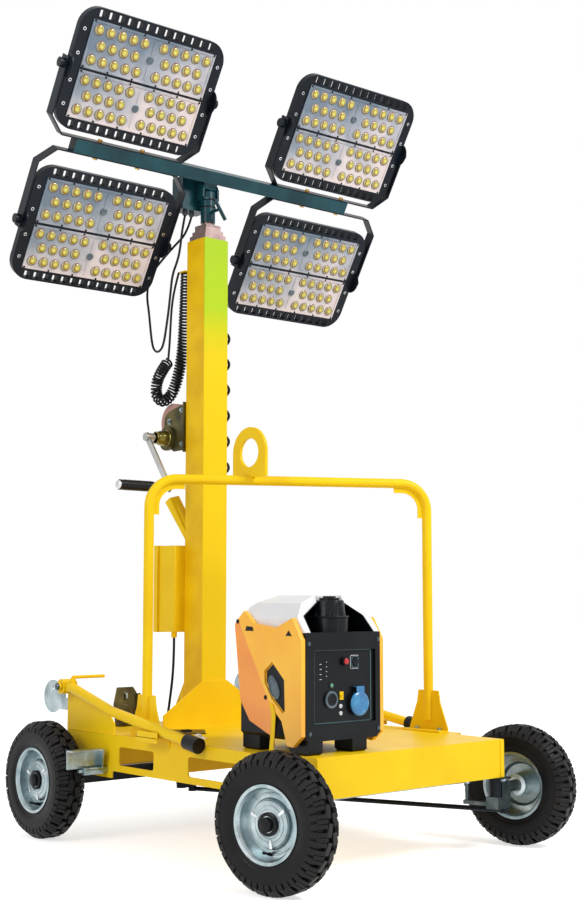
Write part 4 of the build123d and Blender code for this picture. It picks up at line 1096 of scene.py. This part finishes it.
# Each row: circle of the blocks' middles, distance from the wheel's middle plane, tilt in
# degrees, slant, share of a pitch, then offsets in a pitch, and a block's length, width, depth.
block_rows = (
    (0.1852, 0.0339, 38.5, 0.0, 0.0, (-4.1, 0.0, 4.1), (0.0122, 0.0310, 0.0124)),
    (0.1700, 0.0488, 76.0, 0.0, 0.0, (-4.0, 4.0), (0.0178, 0.0200, 0.0090)),
    (0.1942, 0.0128, 0.0, 14.0, 0.5, (0.0,), (0.0370, 0.0205, 0.0096)),
)
for name, (centre, turn) in wheel_frames.items():
    body = "wheel_" + name
    wheel = turned_at(at(*centre), turn, "Z")
    shape = bmesh.new()
    section = [*tyre_half, *((r, -y) for r, y in reversed(tyre_half[:-1]))]
    add_turned(shape, [*section, section[0]], outward, 96)
    carcass = finished("tyre_carcass_" + name, body, shape, rubber, wheel, smooth=True)
    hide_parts("tyre_" + name)
    for row, (radius, out, tilt, slant, share, offsets, size) in enumerate(block_rows):
        spots, turns = [], []
        for side in (1, -1):
            for number in range(pitches):
                for offset in offsets:
                    shift_share = share if side > 0 else share + 0.5
                    angle = 2 * math.pi * (number + shift_share) / pitches + math.radians(offset)
                    around = Matrix.Rotation(angle, 4, "Y")
                    spots.append(around @ Vector((0.0, side * out, radius)))
                    lean = around @ Matrix.Rotation(-side * math.radians(tilt), 4, "X")
                    lean = lean @ Matrix.Rotation(side * math.radians(slant), 4, "Z")
                    turns.append(tuple(lean.to_euler()))
        grow(
            "tyre_blocks_" + str(row + 1) + "_" + name, body, block_tree, spots,
            {"Length": size[0], "Width": size[1], "Depth": size[2], "Finish": block_rubber}, wheel,
            turns, bevel=0.0012)
print("blocks in the last row", len(spots))

# %% [markdown]
# ## Generator
# The small petrol generator has a black panel with sockets and switches between two orange side
# shells, a white cover and a black fuel cap. The solids give those forms. The panel's pale
# border line, its buttons, lamps, sockets and screws, the dark slots of the shells, the round
# window behind the diamond recess and the yellow tie strap are added here.

# %% Panel border, screws and sockets
gen_front, gen_y, gen_half = 590.0, -262.0, 170.0


def on_panel(side_mm, up_mm, out_mm=0.0):
    """A place on the panel: to the machine's left, up from the deck, out of the panel."""
    return at(gen_front + out_mm, gen_y + side_mm, deck_z + up_mm)


def facing(place):
    """A frame at the place whose Z points forward."""
    return turned_at(place, math.pi / 2, "Y")


shape = bmesh.new()
for y0, y1, z0, z1 in border_bars(-116.0, 120.0, 90.0, 308.0, 3.0):
    add_box(shape, on_panel(y0, z0, -8.5), on_panel(y1, z1, -7.0))
pale = finish("pale_line", (0.030, 0.085, 0.100), (0.07, 0.14, 0.16), 0.4)
slate = finish("slate_plastic", (0.030, 0.055, 0.075), (0.09, 0.14, 0.17), 0.28, coat=0.3, cloud=30.0)
finished("panel_border", "chassis", shape, pale)
shape = bmesh.new()
add_box(shape, on_panel(-130, 346, -30.0), on_panel(130, 360, -5.0))
finished("panel_top_lip", "chassis", shape, black, bevel=0.004, segments=3)
corner_spots = [on_panel(y, z, 0.6) for y, z in ((-142, 327), (144, 336), (-138, 64), (144, 66))]
grow(
    "panel_screws", "chassis", screw_tree, corner_spots,
    {"Radius": 0.0062, "Height": 0.004, "Finish": slate}, None, (0.0, math.pi / 2, 0.0))


def knob(shape, side_mm, up_mm, profile, steps=28):
    """A turned knob or socket on the recessed panel."""
    add_turned(shape, thousandths(profile), facing(on_panel(side_mm, up_mm, -8.0)), steps)


shape = bmesh.new()
knob(shape, 61, 144, ((0, 11), (37.5, 11), (37.5, 14), (34, 18), (27, 20), (25.5, 18.5), (0, 18.5)), 36)
add_box(shape, on_panel(45, 176, -7.0), on_panel(77, 196, 9.5))
finished("blue_socket_lid", "chassis", shape, blue, smooth=True, bevel=0.0012)
shape = bmesh.new()
knob(shape, 8, 272, ((0, 9), (9, 9), (9, 12.5), (7, 14), (0, 14)))
finished("red_button", "chassis", shape, red, smooth=True)
shape = bmesh.new()
knob(shape, -48, 160, ((18, 3), (25.5, 3), (25.5, 6.8), (22, 8.5), (19, 8.5), (18, 6.5), (18, 3)), 32)
knob(shape, -45, 202, ((4, 1), (7.5, 1), (7.5, 3.5), (4, 3.5), (4, 1)), 20)
for y0, y1, z0, z1 in border_bars(36, 64, 251, 287, 3):
    add_box(shape, on_panel(y0, z0, -8.5), on_panel(y1, z1, -3.0))
finished("panel_rings", "chassis", shape, slate, smooth=True)
shape = bmesh.new()
for y0, y1, z0, z1 in border_bars(33, 67, 248.4, 289.6, 1.6):
    add_box(shape, on_panel(y0, z0, -8.5), on_panel(y1, z1, -6.5))
for up_mm in (139.0, 118.0):
    knob(shape, -8, up_mm, ((2.2, 0), (6.0, 0), (6.0, 3.2), (3.0, 4.2), (2.2, 4.2), (2.2, 0)), 18)
for step in range(4):
    add_box(shape, on_panel(-92, 265 - 15 * step, -8.5), on_panel(-84, 266.4 - 15 * step, -7.4))
    add_box(shape, on_panel(-66, 271 - 14 * step, -8.5), on_panel(-62, 272.4 - 14 * step, -7.4))
finished("panel_pale_marks", "chassis", shape, white)
shape = bmesh.new()
add_box(shape, on_panel(-13, 158, -8.5), on_panel(1, 182, -3.5))
knob(shape, -6, 170, ((2.5, 4), (6.0, 4), (6.0, 6.5), (3.4, 7.5), (2.5, 7.5), (2.5, 4)), 20)
finished("yellow_socket", "chassis", shape, yellow, smooth=True)
green = finish("green_lamp", (0.06, 0.55, 0.12), (0.10, 0.70, 0.18), 0.25)
shape = bmesh.new()
knob(shape, -45, 202, ((0, 0), (4, 0), (4, 2.8), (2.5, 4), (0, 4)), 18)
finished("green_pilot_lamp", "chassis", shape, green, smooth=True)
print("panel ready")

# %% Slots, window and strap on the near shell, and the window's floor on the far one too
near_side = turned_at(at(gen_front, gen_y - gen_half, deck_z), math.pi / 2, "X")
slots = bmesh.new()
add_plate(slots, thousandths(((-262, 362), (-222, 362), (-228, 374), (-256, 376))),
          0.0012, near_side)
add_plate(slots, thousandths(((-72, 350), (-44, 350), (-58, 366))), 0.0012, near_side)
window_floor = thousandths((
    (-136, 266), (-83, 218), (-80, 130), (-88, 124), (-137, 164), (-168, 209), (-168, 242)))
add_plate(slots, window_floor, 0.0020, near_side @ Matrix.Translation((0, 0, -0.0100)))
far_side = turned_at(at(gen_front, gen_y + gen_half, deck_z), math.pi / 2, "X")
add_plate(slots, window_floor, 0.0020, far_side @ Matrix.Translation((0, 0, 0.0080)))
finished("shell_slots", "chassis", slots, black)
oval = bmesh.new()
oval_turn = Matrix.Rotation(math.radians(-62), 4, "Z") @ Matrix.Diagonal((1.0, 0.56, 1.0, 1.0))
oval_place = near_side @ Matrix.Translation((-0.1330, 0.1950, -0.0085)) @ oval_turn
add_turned(
    oval,
    ((0.0, -0.001), (0.038, -0.001), (0.038, 0.003), (0.034, 0.0060), (0.030, 0.0060),
     (0.028, 0.0035), (0.0, 0.0048)),
    oval_place, 32)
finished("shell_window", "chassis", oval, slate, smooth=True)
bolt_spots = [near_side @ Vector((x / 1000, z / 1000, 0.0)) for x, z in ((-300, 390), (-165, 164))]
grow(
    "shell_screws", "chassis", screw_tree, bolt_spots,
    {"Radius": 0.0070, "Height": 0.0024, "Finish": black}, None, (math.pi / 2, 0.0, 0.0))
strap = bmesh.new()
strap_outline = (
    (-146, 150), (-128, 146), (-116, 112), (-120, 60), (-126, 3), (-146, 3), (-138, 62), (-134, 110))
strap_place = near_side @ Matrix.Translation((0, 0, 0.0005))
add_plate(strap, thousandths(strap_outline), 0.0024, strap_place)
finished("tie_strap", "chassis", strap, yellow, bevel=0.0008)
print("shell parts ready")

# %% [markdown]
# ### Filler recess and fuel cap
# A thin black liner follows the white cover's opening round the fuel cap. The cap gets a ring, a grip
# bar across its top and a rim round its foot.

# %% Black liner of the filler recess


def front_at(rise):
    """How far behind the panel the white cover ends at that height over the panel's top."""
    if rise < 50:
        return -4 - 40 * rise / 50
    return -44 - 26 * (rise - 50) / 61


panel_top = deck_z + 359.0
liner_edge = ((-131, 0), (-124, 50), (-48, 95), (48, 95), (124, 50), (131, 0))
shape = bmesh.new()
for (y0, z0), (y1, z1) in zip(liner_edge, liner_edge[1:]):
    corners = []
    for inset in (0.0, 3.0):
        for y, z, x in ((y0, z0, -126), (y0, z0, front_at(z0) + 1), (y1, z1, front_at(z1) + 1),
                        (y1, z1, -126)):
            length = math.hypot(y, max(z, 1))
            corners.append(shape.verts.new(at(gen_front + x, gen_y + y * (1 - inset / 131),
                                              panel_top + z - inset * z / length)))
    outer, inner = corners[:4], corners[4:]
    shape.faces.new(outer)
    shape.faces.new(list(reversed(inner)))
    for step in range(4):
        after = (step + 1) % 4
        shape.faces.new((outer[step], inner[step], inner[after], outer[after]))
finished("filler_recess_liner", "chassis", shape, black)

# %% Rings and grip bar of the fuel cap
cap_x = gen_front - 64.0
cap = Matrix.Translation(at(cap_x, gen_y, panel_top))
shape = bmesh.new()
add_turned(
    shape,
    ((0.0290, 0.1000), (0.0330, 0.1000), (0.0330, 0.1018), (0.0290, 0.1030), (0.0260, 0.1030),
     (0.0260, 0.1000), (0.0290, 0.1000)),
    cap, 40)
add_box(shape, at(cap_x - 24, gen_y - 5, panel_top + 100), at(cap_x + 24, gen_y + 5, panel_top + 109))
add_turned(
    shape,
    ((0.0560, 0.0440), (0.0605, 0.0440), (0.0605, 0.0480), (0.0560, 0.0500), (0.0560, 0.0440)),
    cap, 48)
finished("fuel_cap_trim", "chassis", shape, black, smooth=True, bevel=0.0010)

# %% [markdown]
# ## Deck trim
# The steel deck carries small things that give scale: weld beads along the foot of the mast and
# hoop, the bolts of the hoop's feet and of the kingpin housings, two pale wing clips, and a
# black lashing strap laid across.

# %% Weld beads
weld_tree, weld_in, weld_out = new_tree("weld_drop", ("Radius", "Height"))
weld_drop = add_node(weld_tree, "GeometryNodeMeshIcoSphere",
    {"Subdivisions": 2, "Radius": weld_in.outputs["Radius"]})
set_on_points(weld_tree, weld_in, weld_out, weld_drop.outputs["Mesh"])


def weld_line(points, pitch=3.4):
    """Points every few millimetres along a broken line, for weld drops."""
    drops = []
    for a, b in zip(points, points[1:]):
        a, b = at(*a), at(*b)
        steps = max(2, int((b - a).length * 1000 / pitch))
        drops.extend(a.lerp(b, step / steps) for step in range(steps))
    return drops


half, base_half = half_mast, 230.0
weld_runs = (
    ((front_face + 6, -base_half, deck_z), (front_face + 6, base_half, deck_z)),
    ((mast_x - half, -half, deck_z), (mast_x + half, -half, deck_z)),
    ((mast_x - half, half, deck_z), (mast_x + half, half, deck_z)),
    ((front_face, -half, deck_z + 161), (front_face, half, deck_z + 161)),
    ((rear_face, -half, deck_z + 4), (rear_face - 66, -half, deck_z)),
)
drops = []
for run in weld_runs:
    drops.extend(weld_line(run))
for x, y in ((-179.5, -442.0), (273.5, 442.0)):
    side = -1 if y < 0 else 1
    face = y + (-4.5 if side < 0 else 4.5)
    drops.extend(weld_line(((x - 90, face, deck_z), (x + 90, face, deck_z))))
    for sign in (-1, 1):
        edge_x = x + sign * 17.5
        drops.extend(weld_line(((edge_x, face, deck_z + 4), (edge_x, face, deck_z + 94))))
edge_y = -deck_half_width - 0.5
drops.extend(weld_line(((-297.5, edge_y, deck_z), (-620, edge_y, deck_z))))
grow("weld_beads", "chassis", weld_tree, drops, {"Radius": 0.0023, "Height": 0.0, "Finish": yellow})
print("weld drops", len(drops))

# %% Bolts of the feet and the kingpin housings
deck_bolts, deck_turns = [], []
for x, y in ((-232.0, -438.0), (-127.0, -438.0), (221.0, 438.0), (326.0, 438.0)):
    deck_bolts.append(at(x, y, deck_z + 6))
    deck_turns.append((0.0, 0.0, 0.0))
for side in (1, -1):
    for dx in (-36.0, 36.0):
        deck_bolts.append(at(half_base + dx, side * (half_track - stub), 238.0))
        deck_turns.append((math.pi, 0.0, 0.0))
grow(
    "deck_bolts", "chassis", bolt_tree, deck_bolts,
    {"Radius": 0.0075, "Height": 0.006, "Washer": 0.0105, "Finish": zinc}, None, deck_turns)
print("deck bolts", len(deck_bolts))

# %% Lashing strap and wing clips on the deck
shape = bmesh.new()
lash = ((-326, -237), (-209, -317), (-132, -230), (-247, -147))
add_plate(shape, [at(x, y, 0).xy for x, y in lash], 0.003,
          Matrix.Translation((0, 0, deck_z / 1000)))
add_box(shape, at(-250, -250, deck_z), at(-224, -220, deck_z + 9))
finished("lashing_strap", "chassis", shape, black, bevel=0.001)
shape = bmesh.new()
for x, y, turn in ((-36, -335, 0.6), (-592, -330, 0.2)):
    clip = turned_at(at(x, y, deck_z), turn, "Z")
    for wing in (1, -1):
        lean = clip @ Matrix.Rotation(wing * math.radians(24), 4, "Y")
        add_plate(shape, [(0.0, -0.012), (wing * 0.034, -0.020), (wing * 0.040, 0.0),
            (wing * 0.034, 0.020), (0.0, 0.012)], 0.003, lean @ Matrix.Translation((0, 0, 0.007)))
    add_turned(
        shape, ((0.0, 0.0), (0.011, 0.0), (0.011, 0.012), (0.008, 0.015), (0.0, 0.015)), clip, 18)
finished("wing_clips", "chassis", shape, white)
print("deck trim ready")

# %% [markdown]
# ## Mast and winch trim
# The winch has a pale strap wound on its drum, a dark gold cone, bolts through its cheeks and a
# ribbed grip on its crank. The side box has hinges and a lock. A thin lip closes each stage of
# the mast, and a spare lead runs in long turns down the mast's left side, held by a clip at each
# end. The last cells add the brace, the saddles, the strips and the foot tops.

# %% Strap on the drum, bolts, cone and crank grip
winch_x, winch_z = -600.0, 1433.0
drum_x, drum_z = winch_x + 8, winch_z + 62
drum = turned_at(at(drum_x, 0, drum_z), math.pi / 2, "X")
shape = bmesh.new()
add_turned(shape, band(0.0462, 0.0505, -0.040, 0.040), drum, 48)
finished("drum_wrap", "chassis", shape, pink, smooth=True)
shape = bmesh.new()
for y in (-44.0, 44.0):
    side = turned_at(at(drum_x, y, drum_z), math.pi / 2, "X")
    add_turned(shape, band(0.0462, 0.0535, -0.002, 0.002), side, 48)
finished("drum_flanges", "chassis", shape, pink, smooth=True)
winch_spots, winch_turns = [], []
for side in (1, -1):
    for x, z in ((rear_face - 20, 1408), (rear_face - 20, 1536), (rear_face - 100, 1400),
                 (rear_face - 96, 1500), (drum_x, drum_z)):
        winch_spots.append(at(x, side * 60.4, z))
        winch_turns.append((-side * math.pi / 2, 0.0, 0.0))
grow(
    "winch_bolts", "chassis", bolt_tree, winch_spots,
    {"Radius": 0.0065, "Height": 0.006, "Washer": 0.0095, "Finish": zinc}, None, winch_turns)
gold = finish("gold_boss", (0.08, 0.065, 0.010), (0.34, 0.28, 0.06), 0.26, metal=0.7, cloud=40.0)
shape = bmesh.new()
boss = turned_at(at(winch_x, -66.0, winch_z), math.pi / 2, "X")
add_turned(shape, ((0.0308, 0.0), (0.0330, 0.0), (0.0330, 0.008), (0.0302, 0.010), (0.0300, 0.020),
    (0.0272, 0.040), (0.0236, 0.046), (0.0236, 0.056), (0.0205, 0.058), (0.0112, 0.058),
    (0.0112, 0.056), (0.0308, 0.0)), boss, 40)
finished("winch_gold_boss", "chassis", shape, gold, smooth=True)
shape = bmesh.new()
crank_reach, grip_angle = 248.0, math.radians(-54.2)
grip_x = winch_x + crank_reach * math.cos(grip_angle)
grip_z = winch_z + crank_reach * math.sin(grip_angle)
grip_way = turned_at(at(grip_x, -155.0, grip_z), math.pi / 2, "X")
add_turned(shape, ((0.0, 0.2215), (0.0135, 0.2215), (0.0165, 0.2235), (0.0165, 0.2290),
    (0.0120, 0.2330), (0.0, 0.2340)), grip_way, 24)
add_turned(shape, ((0.0076, 0.002), (0.0120, 0.002), (0.0120, 0.012), (0.0100, 0.016),
    (0.0076, 0.016), (0.0076, 0.002)), grip_way, 20)
finished("crank_grip_ends", "crank", shape, bright, smooth=True)
shape = bmesh.new()
for step in range(9):
    ring = 0.088 + 0.0135 * step
    add_turned(
        shape,
        ((0.0185, ring), (0.0198, ring + 0.002), (0.0198, ring + 0.006), (0.0185, ring + 0.008),
         (0.0185, ring)),
        grip_way, 24)
finished("crank_grip_ribs", "crank", shape, cable, smooth=True)
print("winch ready")

# %% Hinges and lock of the side box
shape = bmesh.new()
lid_x1 = rear_face - 101
lid_x0 = lid_x1 - 22.0
for z in (745.0, 965.0):
    add_box(shape, at(lid_x1 - 12, 59, z), at(lid_x1 + 26, 64, z + 42))
    add_box(shape, at(lid_x1 - 2, 60, z - 4), at(lid_x1 + 6, 67, z + 46))
finished("side_box_hinges", "chassis", shape, zinc, bevel=0.0008)
shape = bmesh.new()
lock = turned_at(at(lid_x0, -60.0, 862.0), -math.pi / 2, "Y")
add_turned(shape, ((0.0, -0.001), (0.013, -0.001), (0.013, 0.003), (0.010, 0.005), (0.0, 0.005)),
    lock, 24)
finished("side_box_lock", "chassis", shape, bright, smooth=True)
print("side box ready")

# %% Lips of the mast's stages
for number in (1, 2, 3):
    size = 112.0 - 14.0 * number
    top = 2183.0 + 17.0 * number
    shape = bmesh.new()
    outer, inner = size / 2, size / 2 - 5.4
    for y0, y1, x0, x1 in (
        (-outer, outer, -outer, -inner),
        (-outer, outer, inner, outer),
        (-outer, -inner, -inner, inner),
        (inner, outer, -inner, inner),
    ):
        add_box(shape, at(mast_x + x0, y0, top - 0.2), at(mast_x + x1, y1, top + 1.2))
    finished("stage_lip_" + str(number), "stage_" + str(number), shape, steel)
print("mast trim ready")

# %% [markdown]
# ### Spare lead
# Long open turns of a thin lead run down the mast's left side. The line is a drawn out helix whose
# two ends face the mast, where a small black clip holds each.

# %% Long turns of spare lead on the left of the mast
spare_middle = (mast_x, half_mast + 27.0)
spare_r, spare_pitch, spare_top, spare_low = 19.5, 99.0, 1853.8, 1259.8
spare_steps = 14
spare_count = int((spare_top - spare_low) / spare_pitch * spare_steps)
spare_points = []
for step in range(spare_count + 1):
    angle = 2 * math.pi * step / spare_steps + 1.5 * math.pi
    spare_points.append(at(spare_middle[0] + spare_r * math.cos(angle),
        spare_middle[1] + spare_r * math.sin(angle),
        spare_top - (spare_top - spare_low) * step / spare_count))
spare = tube_on("spare_lead", spare_points, 0.0055, cable)
spare.data.splines[0].resolution_u = 4
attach(spare, "chassis")
spare_length = route_length(spare_points)
shape = bmesh.new()
for z, spot in ((spare_top, spare_points[0]), (spare_low, spare_points[-1])):
    reach = at(mast_x, half_mast - 0.5, z)
    add_box(
        shape, (spot.x - 0.008, reach.y, spot.z - 0.009),
        (spot.x + 0.008, spot.y + 0.008, spot.z + 0.009))
finished("spare_lead_clips", "chassis", shape, black, bevel=0.002)
print("spare lead", round(spare_length, 2))

# %% [markdown]
# ### Brace, saddles, strips and foot tops
# A wide channel leads from the mast to the winch's bracket. Small plates carry the side handles
# where they pass the deck, a strip closes each end of the front beam, and the hoop's foot plates
# narrow towards their tops. All are flat plates and boxes with a small bevel.

# %% Wide brace, handle saddles and beam strips
shape = bmesh.new()
brace_low = Vector((rear_face, -20.0, 1055.0))
brace_high = Vector((rear_face - 74.0, -62.0, 1200.0))
run = (brace_high - brace_low).normalized()
wide = Vector((0, 1, 0)) - run * run.y
wide.normalize()
deep = run.cross(wide)
low_end = brace_low + run * 4
corners = []
for end in (low_end, brace_high + run * 2):
    for a_side, b_side in ((1, 1), (-1, 1), (-1, -1), (1, -1)):
        spot = end + wide * (25 * a_side) + deep * (17.5 * b_side)
        spot.x = min(spot.x, rear_face)
        corners.append(shape.verts.new(at(*spot)))
for face in ((0, 1, 2, 3), (7, 6, 5, 4), (0, 4, 5, 1), (1, 5, 6, 2), (2, 6, 7, 3), (3, 7, 4, 0)):
    shape.faces.new([corners[i] for i in face])
finished("mast_brace_channel", "chassis", shape, yellow, bevel=0.003)
shape = bmesh.new()
for side in (1, -1):
    inner, outer = side * (deck_half_width + 4.5), side * 521.0
    low_y, high_y = sorted((inner, outer))
    add_box(shape, at(-123, low_y, 376), at(-10, high_y, 381))
    low_y, high_y = sorted((side * 517.0, side * 521.0))
    add_box(shape, at(-123, low_y, 362), at(-10, high_y, 398))
finished("handle_saddles", "chassis", shape, yellow, bevel=0.0015)
shape = bmesh.new()
for side in (1, -1):
    low_y, high_y = sorted((side * 396.0, side * 414.5))
    add_box(shape, at(634, low_y, 243), at(638.0, high_y, 364))
finished("beam_end_strips", "chassis", shape, yellow, bevel=0.0015)
hinge_out = 497.5 + 17 + 4 + 8
shape = bmesh.new()
for side in (1, -1):
    out = side * hinge_out
    turned = turned_at(at(-607, out, 516), -side * math.pi / 2, "X")
    add_turned(shape, ((0.0, 0.0), (0.0135, 0.0), (0.0135, 0.0010), (0.0115, 0.0018),
        (0.0115, 0.0060), (0.0095, 0.0078), (0.0, 0.0080)), turned, 12)
finished("hinge_bolt_caps", "chassis", shape, dark_zinc, smooth=True)
shape = bmesh.new()
for x, y in ((-179.5, -440.1), (273.5, 445.9)):
    place = turned_at(at(x, y, deck_z + 95.0), math.pi / 2, "X")
    add_plate(shape, ((-0.0555, 0.0), (-0.048, 0.045), (0.048, 0.045), (0.0555, 0.0)), 0.0058, place)
finished("hoop_foot_tops", "chassis", shape, yellow, bevel=0.0012)

# %% [markdown]
# ### Strap roll and pedal
# The roll is the wound strap as it shows past the winch's cheeks. The slotted foot plate holds a
# narrow tongue and a small hook, both set in the plate's leaning frame.

# %% Strap roll of the winch and the pedal's tongue
shape = bmesh.new()
roll = turned_at(at(-606.0, 40.0, 1500.0), math.pi / 2, "X")
add_turned(shape, ((0.0, 0.0), (0.0700, 0.0), (0.0715, 0.0015), (0.0715, 0.0785), (0.0700, 0.0800),
                   (0.0, 0.0800)), roll, 48)
finished("winch_strap_roll", "chassis", shape, pink, smooth=True)
pedal_frame = turned_at(at(-575.0, -250.0, deck_z + 9), math.radians(-10), "Y")
shape = bmesh.new()
add_box(shape, (-0.0018, -0.0078, 0.0655), (0.0018, 0.0078, 0.1112))
finished("pedal_tongue", "chassis", shape, olive, pedal_frame)
shape = bmesh.new()
add_box(shape, (0.0020, -0.0040, 0.0880), (0.0120, 0.0040, 0.0940))
add_box(shape, (0.0080, -0.0040, 0.0860), (0.0120, 0.0040, 0.1080))
finished("pedal_hook", "chassis", shape, zinc, pedal_frame, bevel=0.0012)
print("late trim ready")
